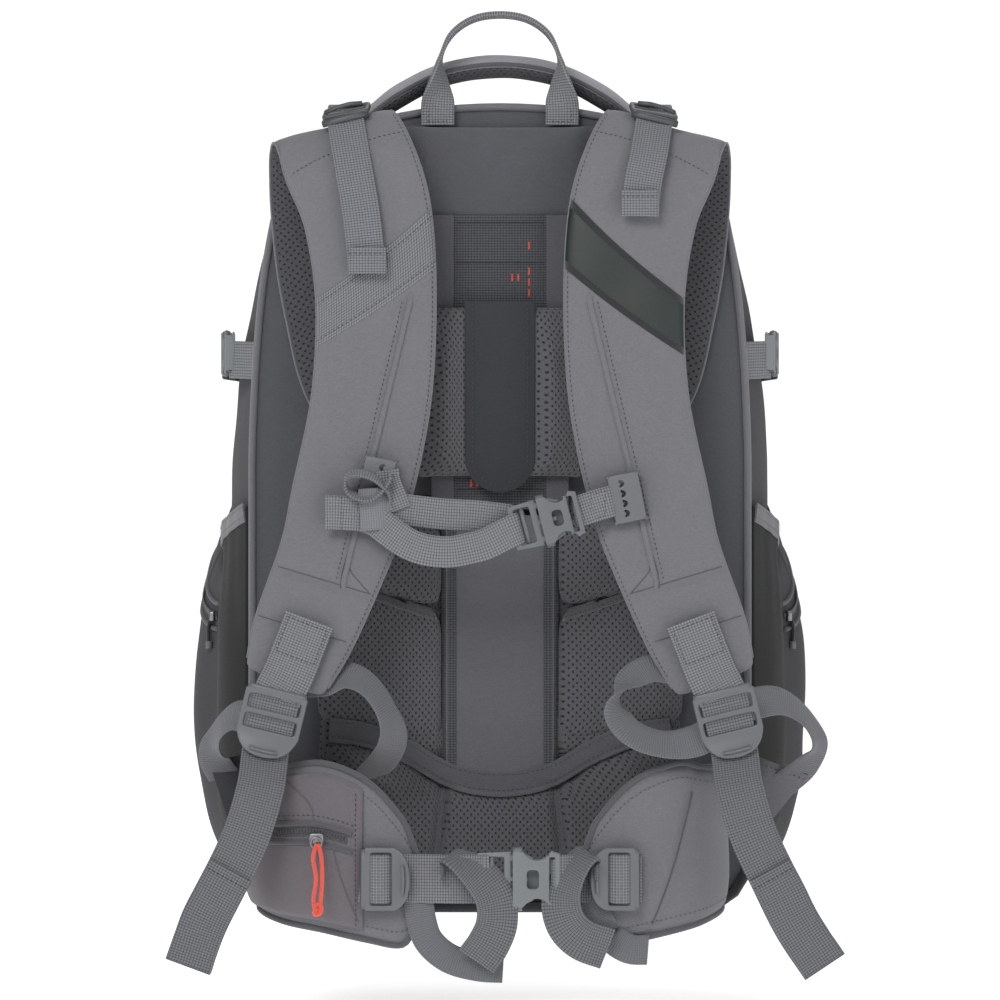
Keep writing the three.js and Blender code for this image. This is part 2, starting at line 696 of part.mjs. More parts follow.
function hipFins() {
  const group = new THREE.Group();
  const thick = (u, v) => FIN_THICK * (0.6 + 0.4 * Math.sin(Math.PI * v));
  for (const [name, side] of SIDES) {
    group.add(named(`hip_fin_${name}`, 'shell', sheet(finSurface(side), thick, 14, 4)));
  }
  return group;
}

// A shell pocket on the left fin, hollow behind.
function hipPocket() {
  const fin = finSurface(-1);
  const span = { from: 0.24, to: 0.62 };
  const surface = (u, v) => {
    const at = lerp(span.from, span.to, u);
    const high = lerp(0.05, 0.95, v);
    const run = fin(at + 0.01, high).sub(fin(at - 0.01, high));
    const out = v3(run.y, -run.x, 0).normalize();
    const swell = Math.sin(Math.PI * lerp(0.02, 0.98, u)) * Math.sin(Math.PI * lerp(0.06, 0.94, v));
    return fin(at, high).addScaledVector(out, FIN_THICK / 2 + 1.8 + 9 * Math.sqrt(swell));
  };
  return named('hip_pocket', 'shell', sheet(surface, 2, 10, 6));
}

function hipHardware() {
  const group = new THREE.Group();
  group.add(hipPocket());

  const buckle = new THREE.Group();
  buckle.position.set(HIP_MOUTH_X, HIP_LOCK.y, HIP_LOCK.z);
  buckle.add(named('hip_buckle_socket', 'plastic', buckleSocket(HIP_BUCKLE)));
  buckle.add(named('hip_buckle_plug', 'plastic', bucklePlug(HIP_BUCKLE)));
  group.add(buckle);

  const { x, y, z } = HIP_ZIP;
  const slider = named('hip_zip_slider', 'zip', plate(roundedRect(-4, -3.5, 4, 3.5, 1.5), -1.6, 1.6));
  slider.position.set(x, y, z);
  group.add(slider);
  const hang = y - 5; // plane of the pull, clear of the pocket
  const fall = [v3(x, hang, z - 3), v3(x - 1, hang, z - 16), v3(x + 3, hang, z - 32), v3(x, hang, z - 46)];
  group.add(named('hip_zip_pull', 'orange', ribbon(fall, 5, X_AXIS, 5, 2.5)));

  // strap ends that hang from the buckle: x and z where each starts and ends
  const ends = { left: [-38, -18, 6, -34], right: [52, 66, 8, -32] };
  const tailY = HIP_LOCK.y + 5.8;
  for (const [name] of SIDES) {
    const [x0, x1, z0, z1] = ends[name];
    const bend = v3(lerp(x0, x1, 0.4), tailY + 1, lerp(z0, z1, 0.5));
    const tail = ribbon([v3(x0, tailY, z0), bend, v3(x1, tailY, z1)], WEBBING.hip, v3(0.9, 0, 0.3), 4);
    group.add(named(`hip_tail_${name}`, 'webbing', tail));
  }
  return group;
}

// ---------------------------------------------------------------- side straps and zips

function sideStraps() {
  const group = new THREE.Group();
  for (const [name, side] of SIDES) {
    const wall = (y, out) => v3(side * (halfWidthAt(SIDE_STRAP.z, y) + out), y, SIDE_STRAP.z);
    const from = wall(SIDE_STRAP.mouth, SIDE_STRAP.out);
    const towards = wall(SIDE_STRAP.mouth + 10, SIDE_STRAP.out).sub(from);
    const buckle = new THREE.Group();
    buckle.position.copy(from);
    // the buckle lies along the swollen side with its mouth towards the front panel
    const along = towards.clone().negate().normalize();
    const high = v3(0, 0, 1);
    const turned = new THREE.Matrix4().makeBasis(along, high.clone().cross(along), high);
    buckle.quaternion.setFromRotationMatrix(turned);
    buckle.add(named(`side_buckle_socket_${name}`, 'plastic', buckleSocket(SIDE_BUCKLE)));
    buckle.add(named(`side_buckle_plug_${name}`, 'plastic', bucklePlug(SIDE_BUCKLE)));
    group.add(buckle);

    const far = SIDE_STRAP.mouth + SIDE_BUCKLE.frame + SIDE_STRAP.travel;
    const points = [0, 0.33, 0.67, 1].map((t) => wall(lerp(far, FRONT - 6, t), 2.2));
    group.add(named(`side_strap_${name}`, 'webbing', ribbon(points, WEBBING.side, v3(0, 0, 1), 4)));
  }
  return group;
}

function zipSliders() {
  const group = new THREE.Group();
  const body = () => plate(roundedRect(-5, -4, 5, 4, 1.5), -2, 2);
  for (const [name, side] of SIDES) {
    const slider = named(`main_zip_slider_${name}`, 'zip', body());
    slider.position.set(side * (halfWidthAt(MAIN_ZIP.z, MAIN_ZIP.y) + 3.4), MAIN_ZIP.y, MAIN_ZIP.z);
    slider.rotation.set(0, Math.PI / 2, (side * Math.PI) / 2, 'ZYX');
    group.add(slider);
  }
  const front = named('front_zip_slider', 'zip', body());
  front.position.set(FRONT_ZIP.x, FRONT + 2.8, FRONT_ZIP.z);
  group.add(front);
  return group;
}

// ---------------------------------------------------------------- assembly

const pack = new THREE.Group();
pack.add(bag(), frame(), baseBoot(), frontPocket(), sidePockets());
pack.add(backPads(), spine(), shoulderStraps(), harnessTrim(), liftBuckles(), ladderLocks());
pack.add(tongue(), grabLoop(), topHandle(), chestStrap(), hipFins(), hipHardware());
pack.add(sideStraps(), zipSliders());
export default pack;
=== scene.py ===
"""Looks of a ski backpack: soft goods, webbing, hardware, studio and camera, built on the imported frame.

Every length is in metres in the frame's own axes: +X right, -Y towards the wearer, +Z up.
Places come from the boxes of the CAD nodes, or, for soft webbing and cloth that have no box of their
own, from at(), in millimetres from the middle and face of the back panel.
"""
import math

import bmesh
import bpy
from mathutils import Matrix, Vector, noise
from mathutils.bvhtree import BVHTree


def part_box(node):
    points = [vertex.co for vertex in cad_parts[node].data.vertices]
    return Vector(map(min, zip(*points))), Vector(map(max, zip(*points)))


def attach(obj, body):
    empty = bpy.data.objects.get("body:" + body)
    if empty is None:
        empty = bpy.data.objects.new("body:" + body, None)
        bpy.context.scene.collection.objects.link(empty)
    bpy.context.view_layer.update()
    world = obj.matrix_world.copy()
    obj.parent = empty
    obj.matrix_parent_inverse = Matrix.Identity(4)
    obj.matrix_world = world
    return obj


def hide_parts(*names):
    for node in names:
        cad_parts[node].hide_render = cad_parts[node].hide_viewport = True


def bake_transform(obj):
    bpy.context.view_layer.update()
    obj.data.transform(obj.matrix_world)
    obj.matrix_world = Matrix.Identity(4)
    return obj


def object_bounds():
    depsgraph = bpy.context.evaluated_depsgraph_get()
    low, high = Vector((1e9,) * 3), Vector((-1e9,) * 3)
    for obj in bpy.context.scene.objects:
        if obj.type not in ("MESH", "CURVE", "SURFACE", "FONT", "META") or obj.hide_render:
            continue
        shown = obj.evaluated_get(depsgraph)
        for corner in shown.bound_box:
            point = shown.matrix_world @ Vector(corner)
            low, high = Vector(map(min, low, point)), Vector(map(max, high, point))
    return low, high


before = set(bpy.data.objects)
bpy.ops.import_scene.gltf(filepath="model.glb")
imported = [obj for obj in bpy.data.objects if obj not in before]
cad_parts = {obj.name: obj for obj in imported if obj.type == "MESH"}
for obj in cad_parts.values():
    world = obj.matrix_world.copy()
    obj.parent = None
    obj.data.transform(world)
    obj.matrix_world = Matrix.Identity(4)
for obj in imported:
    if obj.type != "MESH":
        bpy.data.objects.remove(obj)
cad_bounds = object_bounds()

MM = 0.001
SIDES = (("left", -1), ("right", 1))
X, Y, Z = Vector((1, 0, 0)), Vector((0, 1, 0)), Vector((0, 0, 1))


# ---------------------------------------------------------------- boxes of the frame

class Box:
    """The box of a CAD node."""

    def __init__(self, node):
        low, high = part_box(node)
        self.low, self.high = Vector(low), Vector(high)
        self.size = self.high - self.low
        self.centre = (self.low + self.high) / 2


PANEL = Box("back_panel")
FRONT_PANEL = Box("front_panel")
BACK_Y, FRONT_Y = PANEL.low.y, FRONT_PANEL.high.y
DEPTH = FRONT_Y - BACK_Y
HALF_WIDTH = PANEL.high.x


# ---------------------------------------------------------------- numbers and curves

def lerp(a, b, t):
    return a + (b - a) * t


def smooth(x, low, high):
    t = max(0.0, min(1.0, (x - low) / (high - low)))
    return t * t * (3 - 2 * t)


def bump(t, width=1.0):
    """A soft hill that is 1 at t = 0 and 0 beyond the width."""
    t = abs(t) / width
    return (1 - t * t) ** 2 if t < 1 else 0.0


def catmull(points, t):
    """The point at share t of an even Catmull-Rom curve through points."""
    last = len(points) - 1
    at = max(0.0, min(1.0, t)) * last
    i = min(int(at), last - 1)
    f = at - i
    p1, p2 = points[i], points[i + 1]
    p0 = points[i - 1] if i else p1 * 2 - p2
    p3 = points[i + 2] if i + 2 <= last else p2 * 2 - p1
    return (p1 * 2 + (p2 - p0) * f + (p0 * 2 - p1 * 5 + p2 * 4 - p3) * f * f
            + (p1 * 3 - p0 - p2 * 3 + p3) * f ** 3) * 0.5


def even_shares(points, step):
    """Shares along the curve through points, one step of length apart."""
    fine = 40 * (len(points) - 1)
    run = [0.0]
    before = catmull(points, 0)
    for i in range(1, fine + 1):
        here = catmull(points, i / fine)
        run.append(run[-1] + (here - before).length)
        before = here
    count = max(2, round(run[-1] / step))
    shares, i = [], 0
    for k in range(count + 1):
        want = run[-1] * k / count
        while i < fine - 1 and run[i + 1] < want:
            i += 1
        span = run[i + 1] - run[i]
        shares.append((i + (want - run[i]) / span if span else i) / fine)
    return shares


def curve_points(points, step):
    return [catmull(points, t) for t in even_shares(points, step)]


def mirrored(points, side):
    return [Vector((p.x * side, p.y, p.z)) for p in points]


def wander(p, scale, size, seed=0.0):
    """Smooth, repeatable unevenness for cloth."""
    return noise.noise(Vector((p.x / scale + seed, p.y / scale + 3 * seed, p.z / scale - seed))) * size


# ---------------------------------------------------------------- meshes

def mesh_object(name, verts, faces, uvs=None, materials=(), slots=None, sharp=None):
    """A smooth-shaded object. uvs holds one list of (u, v) in metres for each face."""
    mesh = bpy.data.meshes.new(name)
    mesh.from_pydata([tuple(v) for v in verts], [], faces)
    if uvs:
        layer = mesh.uv_layers.new(name="UVMap")
        flat = [c for face in uvs for uv in face for c in uv]
        layer.data.foreach_set("uv", flat)
    for material in materials:
        mesh.materials.append(material)
    if slots:
        mesh.polygons.foreach_set("material_index", slots)
    mesh.shade_smooth()
    if sharp:
        mesh.set_sharp_from_angle(angle=math.radians(sharp))
    obj = bpy.data.objects.new(name, mesh)
    bpy.context.scene.collection.objects.link(obj)
    return obj


def finish_piece(obj, body, replaces=(), blend=None):
    """Puts a finished piece on its body, or, with blend, bakes its place in and leaves it on no body."""
    if blend:
        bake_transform(obj)
    else:
        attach(obj, body)
    if replaces:
        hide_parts(*replaces)
    return obj


def loft(rings, closed=True, caps=True, uv_of=None):
    """Verts, faces and UVs of a skin over rings of equal length. uv_of(i, j) gives metres."""
    count = len(rings[0])
    verts = [p for ring in rings for p in ring]
    faces, uvs = [], []
    columns = count if closed else count - 1
    for i in range(len(rings) - 1):
        for j in range(columns):
            k = (j + 1) % count
            faces.append((i * count + j, i * count + k, (i + 1) * count + k, (i + 1) * count + j))
            uvs.append([uv_of(i, j), uv_of(i, j + 1), uv_of(i + 1, j + 1), uv_of(i + 1, j)]
                       if uv_of else [(0, 0)] * 4)
    if closed and caps:
        for i, order in ((0, -1), (len(rings) - 1, 1)):
            face = [i * count + j for j in range(count)][::order]
            faces.append(tuple(face))
            uvs.append([uv_of(i, n % count) if uv_of else (0, 0) for n in face])
    return verts, faces, uvs


def frames_along(points, wides, step):
    """Evenly spaced (centre, wide, normal, length so far) along a strap's middle line."""
    shares = even_shares(points, step)
    frames, run, before = [], 0.0, None
    for t in shares:
        p = catmull(points, t)
        ahead = catmull(points, min(t + 1e-3, 1)) - catmull(points, max(t - 1e-3, 0))
        ahead.normalize()
        wide = catmull(wides, t)
        wide = (wide - ahead * wide.dot(ahead)).normalized()
        run += (p - before).length if before else 0.0
        before = p
        frames.append((p, wide, ahead.cross(wide).normalized(), run))
    return frames


def strap_profile(width, thick):
    """Flat webbing in section: (across, out) pairs with rounded edges."""
    half, t = width / 2, thick / 2
    edge = min(t, 0.9 * MM)
    inner = half - edge
    steps = 6
    top = [(lerp(inner, -inner, k / steps), t) for k in range(steps + 1)]
    bottom = [(a, b - 2 * t) for a, b in reversed(top)]
    return [*top, (-half, 0.0), *bottom, (half, 0.0)]


def webbing(name, points, wides, width, body=None, thick=1.7 * MM, step=2.5 * MM,
            material=None, blend=None, replaces=(), part=(0.0, 1.0)):
    """A strap of webbing through points. wides gives its width direction at each point, or one for all.

    part keeps only a share of its length, so that a strap can be split without a step."""
    if isinstance(wides, Vector):
        wides = [wides] * len(points)
    profile = strap_profile(width, thick)
    path = frames_along(points, wides, step)
    last = len(path) - 1
    path = path[round(part[0] * last):round(part[1] * last) + 1]
    rings = [[p + wide * a + normal * b for a, b in profile] for p, wide, normal, _ in path]
    count = len(profile)

    def uv_of(i, j):
        return (path[i][3], profile[j % count][0] + width / 2)

    verts, faces, uvs = loft(rings, uv_of=uv_of)
    obj = mesh_object(name, verts, faces, uvs, [material or MATERIAL["webbing"]], sharp=50)
    return finish_piece(obj, body, replaces, blend)


def tube_mesh(points, radius, sides=8, closed=False, flat=1.0, up=None):
    """Verts, faces and UVs of a cord through ready-made points."""
    rings, run = [], [0.0]
    normal = up or (Y if abs((points[1] - points[0]).normalized().dot(Y)) < 0.9 else X)
    count = len(points)
    for i, p in enumerate(points):
        before = points[i - 1] if i or closed else p
        after = points[(i + 1) % count] if i + 1 < count or closed else p
        ahead = (after - before).normalized()
        normal = (normal - ahead * normal.dot(ahead)).normalized()
        side = ahead.cross(normal)
        rings.append([p + side * math.cos(a) * radius + normal * math.sin(a) * radius * flat
                      for a in (2 * math.pi * k / sides for k in range(sides))])
        if i:
            run.append(run[-1] + (p - points[i - 1]).length)
    if closed:
        rings.append(rings[0])
        run.append(run[-1] + (points[0] - points[-1]).length)

    def uv_of(i, j):
        return (run[i], 2 * math.pi * radius * j / sides)

    return loft(rings, caps=not closed, uv_of=uv_of)


def cord(name, points, radius, body, material, sides=8, closed=False, flat=1.0, up=None,
         blend=None, replaces=()):
    verts, faces, uvs = tube_mesh(points, radius, sides, closed, flat, up)
    obj = mesh_object(name, verts, faces, uvs, [material])
    if closed:
        weld(obj)
    return finish_piece(obj, body, replaces, blend)


def weld(obj, distance=1e-6):
    bm = bmesh.new()
    bm.from_mesh(obj.data)
    bmesh.ops.remove_doubles(bm, verts=bm.verts, dist=distance)
    bm.to_mesh(obj.data)
    bm.free()


STITCH = {"length": 2.1 * MM, "gap": 1.1 * MM, "radius": 0.28 * MM}


def stitches(name, lines, body, material=None, lift=0.15 * MM):
    """Rows of thread dashes. Each line is a list of (point, outward normal) pairs."""
    verts, faces = [], []
    pitch = STITCH["length"] + STITCH["gap"]
    for line in lines:
        left = 0.0
        for (a, na), (b, nb) in zip(line, line[1:]):
            span = (b - a).length
            if span < 1e-9:
                continue
            along = (b - a) / span
            at = left
            while at < span:
                f = at / span
                out = na.lerp(nb, f).normalized()
                add_dash(verts, faces, a + along * at + out * lift, along, out)
                at += pitch
            left = at - span
    obj = mesh_object(name, verts, faces, None, [material or MATERIAL["thread"]])
    return finish_piece(obj, body)


def add_dash(verts, faces, centre, along, out):
    """One stitch: a small spindle lying on the cloth."""
    side = along.cross(out)
    half, r = STITCH["length"] / 2, STITCH["radius"]
    first = len(verts)
    verts.append(centre - along * half)
    verts += [centre + side * r, centre + out * r, centre - side * r, centre - out * r]
    verts.append(centre + along * half)
    for k in range(4):
        m = 1 + (k + 1) % 4
        faces.append((first, first + m, first + 1 + k))
        faces.append((first + 5, first + 1 + k, first + m))


# ---------------------------------------------------------------- materials

class Graph:
    """A short way to build a material's node tree."""

    def __init__(self, name, display):
        self.material = bpy.data.materials.new(name)
        self.material.use_nodes = True
        self.material.diffuse_color = (*display, 1)
        self.tree = self.material.node_tree
        self.tree.nodes.clear()
        self.output = self.tree.nodes.new("ShaderNodeOutputMaterial")
        self.shader = self.tree.nodes.new("ShaderNodeBsdfPrincipled")
        self.tree.links.new(self.shader.outputs[0], self.output.inputs["Surface"])

    def put(self, socket, value):
        if isinstance(value, bpy.types.NodeSocket):
            self.tree.links.new(value, socket)
        else:
            socket.default_value = value

    def node(self, kind, values=None, **settings):
        made = self.tree.nodes.new(kind)
        for key, value in settings.items():
            setattr(made, key, value)
        for key, value in (values or {}).items():
            self.put(made.inputs[key], value)
        return made

    def math(self, operation, a, b=0.0, c=0.0):
        return self.node("ShaderNodeMath", {0: a, 1: b, 2: c}, operation=operation).outputs[0]

    def mix(self, factor, a, b, blend="MIX"):
        node = self.node("ShaderNodeMix", data_type="RGBA", blend_type=blend)
        self.put(node.inputs["Factor"], factor)
        self.put(node.inputs[6], a)
        self.put(node.inputs[7], b)
        return node.outputs[2]

    def noise(self, vector, scale, detail=2.0):
        return self.node("ShaderNodeTexNoise", {"Vector": vector, "Scale": scale,
                                                "Detail": detail}).outputs["Fac"]

    def plane(self, source):
        """Two coordinates in metres: the strap's own UV, or the object's X and Z."""
        if source == "UV":
            vector = self.node("ShaderNodeTexCoord").outputs["UV"]
            parts = self.node("ShaderNodeSeparateXYZ", {0: vector})
            return parts.outputs[0], parts.outputs[1]
        vector = self.node("ShaderNodeTexCoord").outputs["Object"]
        parts = self.node("ShaderNodeSeparateXYZ", {0: vector})
        turned = self.math("ADD", parts.outputs[0], parts.outputs[1])
        return turned, parts.outputs[2]

    def wave(self, value, pitch, shift=0.0):
        return self.math("SINE", self.math("MULTIPLY_ADD", value, 2 * math.pi / pitch, shift))

    def ramp(self, value, low, high):
        node = self.node("ShaderNodeMapRange", {"Value": value, "From Min": low, "From Max": high},
                         interpolation_type="SMOOTHSTEP")
        return node.outputs[0]

    def surface(self, colour, roughness, height=None, depth=0.0002, **extra):
        self.put(self.shader.inputs["Base Color"], colour)
        self.put(self.shader.inputs["Roughness"], roughness)
        for key, value in extra.items():
            self.put(self.shader.inputs[key.replace("_", " ")], value)
        if height is not None:
            node = self.node("ShaderNodeBump", {"Height": height, "Distance": depth, "Strength": 1.0})
            self.put(self.shader.inputs["Normal"], node.outputs[0])
        return self.material


def linear(hex_colour):
    channels = [int(hex_colour[i:i + 2], 16) / 255 for i in (0, 2, 4)]
    return tuple(c / 12.92 if c <= 0.04045 else ((c + 0.055) / 1.055) ** 2.4 for c in channels)


def rgba(hex_colour, gain=1.0):
    return (*(min(1.0, c * gain) for c in linear(hex_colour)), 1.0)


def fabric(name, colour, pitch=1.1 * MM, source="UV", sheen=0.25, weave=0.1):
    """Woven polyester: a fine crossed weave, uneven dye and a soft sheen."""
    g = Graph(name, linear(colour))
    u, v = g.plane(source)
    where = g.node("ShaderNodeTexCoord").outputs["Object"]
    cross = g.math("MULTIPLY", g.wave(u, pitch), g.wave(v, pitch))
    yarn = g.noise(where, 900.0, 2.0)
    drawn = g.node("ShaderNodeMapping", {"Vector": where, "Scale": (0.25, 1.0, 1.0)}).outputs[0]
    slub = g.noise(drawn, 1200.0, 3.0)
    cloud = g.noise(where, 26.0, 3.0)
    shade = g.math("MULTIPLY_ADD", cross, weave, 0.5)
    shade = g.math("ADD", shade, g.math("MULTIPLY_ADD", yarn, 0.4, -0.2))
    shade = g.math("ADD", shade, g.math("MULTIPLY_ADD", slub, 0.34, -0.17))
    tint = g.mix(g.ramp(shade, 0.2, 0.8), rgba(colour, 0.78), rgba(colour, 1.2))
    tint = g.mix(g.math("MULTIPLY", cloud, 0.2), tint, rgba(colour, 0.8))
    height = g.math("ADD", cross, g.math("MULTIPLY", yarn, 1.2))
    return g.surface(tint, g.math("MULTIPLY_ADD", yarn, 0.12, 0.82), height, 0.00009,
                     Sheen_Weight=sheen, Sheen_Roughness=0.6, Specular_IOR_Level=0.25)


def ribbed_webbing(name, colour, contrast=0.66):
    """Woven strap: ribs along it crossed by picks, with painted shade in the gaps between the crossings and a
    painted highlight on the ribs.
    """
    pitch = 1.9 * MM
    g = Graph(name, linear(colour))
    u, v = g.plane("UV")
    where = g.node("ShaderNodeTexCoord").outputs["Object"]
    rows = g.math("POWER", g.math("ABSOLUTE", g.wave(v, 2 * pitch)), 0.5)
    picks = g.math("POWER", g.math("ABSOLUTE", g.wave(u, 1.8 * pitch)), 0.85)
    height = g.math("MULTIPLY", rows, g.math("MULTIPLY_ADD", picks, 0.85, 0.15))
    yarn = g.noise(where, 1100.0, 2.0)
    relief_shade = g.math("ADD", height, g.math("MULTIPLY_ADD", yarn, 0.3, -0.15))
    cloud = g.noise(where, 30.0, 2.0)
    # painted shade and highlight: the tint follows the relief, dark in the gaps and pale on the ribs
    tint = g.mix(g.ramp(relief_shade, 0.05, 0.75), rgba(colour, 1 - contrast), rgba(colour, 1.36))
    tint = g.mix(g.math("MULTIPLY", cloud, 0.16), tint, rgba(colour, 0.8))
    return g.surface(tint, 0.8, height, 0.0004, Sheen_Weight=0.15, Specular_IOR_Level=0.3)


def fine_webbing(name, colour):
    """Tight ribs across the strap, as on the slack loops and the elastic keeper."""
    g = Graph(name, linear(colour))
    u, v = g.plane("UV")
    ribs = g.math("MULTIPLY_ADD", g.wave(u, 1.5 * MM), 0.5, 0.5)
    warp = g.math("MULTIPLY_ADD", g.wave(v, 1.6 * MM), 0.5, 0.5)
    height = g.math("ADD", ribs, g.math("MULTIPLY", warp, 0.5))
    # painted shade: the tint follows the ribs' height, darker in the grooves between them
    tint = g.mix(g.ramp(height, 0.0, 1.3), rgba(colour, 0.78), rgba(colour, 1.12))
    return g.surface(tint, 0.78, height, 0.00022, Sheen_Weight=0.15)


def air_mesh(name, colour, source="Object"):
    """Knitted spacer mesh with staggered oval holes, pitch apart across and rise apart upwards."""
    pitch, rise, stretch = 4.6 * MM, 4.9 * MM, 1.35
    g = Graph(name, linear(colour))
    u, v = g.plane(source)
    where = g.node("ShaderNodeTexCoord").outputs["Object"]
    warp = g.noise(where, 60.0, 1.0)
    u = g.math("MULTIPLY_ADD", warp, 1.2 * MM, u)
    near = []
    for shift in (0.0, 0.5):
        a = g.math("SUBTRACT", g.math("FRACT", g.math("MULTIPLY_ADD", u, 1 / pitch, shift)), 0.5)
        b = g.math("SUBTRACT", g.math("FRACT", g.math("MULTIPLY_ADD", v, 1 / rise, shift)), 0.5)
        a = g.math("MULTIPLY", a, pitch / MM)
        b = g.math("MULTIPLY", b, rise / MM / stretch)
        near.append(g.math("SQRT", g.math("ADD", g.math("MULTIPLY", a, a), g.math("MULTIPLY", b, b))))
    reach = g.math("MINIMUM", near[0], near[1])
    solid = g.ramp(reach, 0.3, 0.85)
    if source == "Object":
        turned = g.node("ShaderNodeSeparateXYZ", {0: g.node("ShaderNodeNewGeometry").outputs["Normal"]})
        facing_us = g.ramp(g.math("ABSOLUTE", turned.outputs[1]), 0.35, 0.7)
        solid = g.math("SUBTRACT", 1.0, g.math("MULTIPLY", g.math("SUBTRACT", 1.0, solid), facing_us))
    knit = g.noise(where, 1000.0, 2.0)
    loops = g.math("MULTIPLY", g.wave(u, pitch / 4), g.wave(v, rise / 5))
    tone = g.math("ADD", g.math("MULTIPLY", loops, 0.16), g.math("MULTIPLY_ADD", knit, 0.6, 0.2))
    face = g.mix(g.ramp(tone, 0.2, 0.8), rgba(colour, 0.7), rgba(colour, 1.28))
    # painted shade: the holes are tinted near black for the shade inside them
    tint = g.mix(solid, rgba(colour, 0.2), face)
    height = g.math("ADD", solid, g.math("MULTIPLY", tone, 0.3))
    return g.surface(tint, 0.92, height, 0.0007, Sheen_Weight=0.2, Specular_IOR_Level=0.2)


def moulded(name, colour, rough=0.42):
    """Injection-moulded acetal: a fine spark-eroded grain, paler along its sharp convex edges."""
    g = Graph(name, linear(colour))
    where = g.node("ShaderNodeTexCoord").outputs["Object"]
    grain = g.noise(where, 1800.0, 3.0)
    cloud = g.noise(where, 60.0, 2.0)
    edge = g.ramp(g.node("ShaderNodeNewGeometry").outputs["Pointiness"], 0.5, 0.6)
    tint = g.mix(g.math("MULTIPLY", cloud, 0.25), rgba(colour), rgba(colour, 0.85))
    tint = g.mix(g.math("MULTIPLY", edge, 0.35), tint, rgba(colour, 1.35))
    return g.surface(tint, g.math("MULTIPLY_ADD", grain, 0.2, rough - 0.1), grain, 0.00006,
                     Specular_IOR_Level=0.45)


def rubberised(name, colour):
    """Coated base fabric: coarse pebbled grain with scuffs."""
    g = Graph(name, linear(colour))
    where = g.node("ShaderNodeTexCoord").outputs["Object"]
    cells = g.node("ShaderNodeTexVoronoi", {"Vector": where, "Scale": 700.0}).outputs["Distance"]
    scuff = g.ramp(g.noise(where, 120.0, 6.0), 0.58, 0.72)
    tint = g.mix(g.math("MULTIPLY", scuff, 0.3), rgba(colour), rgba(colour, 2.2))
    return g.surface(tint, g.math("MULTIPLY_ADD", scuff, 0.2, 0.5), cells, 0.0002)


def metal(name, colour, rough=0.3):
    """Cast or rolled metal with fine brushing and dull patches."""
    g = Graph(name, linear(colour))
    where = g.node("ShaderNodeTexCoord").outputs["Object"]
    stretched = g.node("ShaderNodeMapping", {"Vector": where, "Scale": (1.0, 1.0, 0.05)}).outputs[0]
    brush = g.noise(stretched, 2500.0, 2.0)
    dull = g.noise(where, 200.0, 3.0)
    tint = g.mix(g.math("MULTIPLY", dull, 0.4), rgba(colour), rgba(colour, 0.7))
    return g.surface(tint, g.math("MULTIPLY_ADD", brush, 0.25, rough - 0.1), brush, 0.00003, Metallic=1.0)


def braided(name, colour):
    """Bright braided cord: crossed strands that wind round it."""
    g = Graph(name, linear(colour))
    u, v = g.plane("UV")
    one = g.wave(g.math("ADD", u, v), 1.6 * MM)
    two = g.wave(g.math("SUBTRACT", u, v), 1.6 * MM)
    height = g.math("MAXIMUM", one, two)
    # painted shade: the tint follows the strands' height, darker where they dip under each other
    tint = g.mix(g.ramp(height, -0.6, 0.9), rgba(colour, 0.72), rgba(colour, 1.1))
    return g.surface(tint, 0.65, height, 0.00035, Sheen_Weight=0.3)


def reflective(name, colour):
    """Retroreflective tape: tiny glass beads over a dark ground."""
    g = Graph(name, linear(colour))
    where = g.node("ShaderNodeTexCoord").outputs["Object"]
    beads = g.node("ShaderNodeTexVoronoi", {"Vector": where, "Scale": 2600.0}).outputs["Distance"]
    tint = g.mix(g.ramp(beads, 0.1, 0.7), rgba(colour, 1.25), rgba(colour, 0.8))
    return g.surface(tint, 0.5, beads, 0.00005, Specular_IOR_Level=0.5)


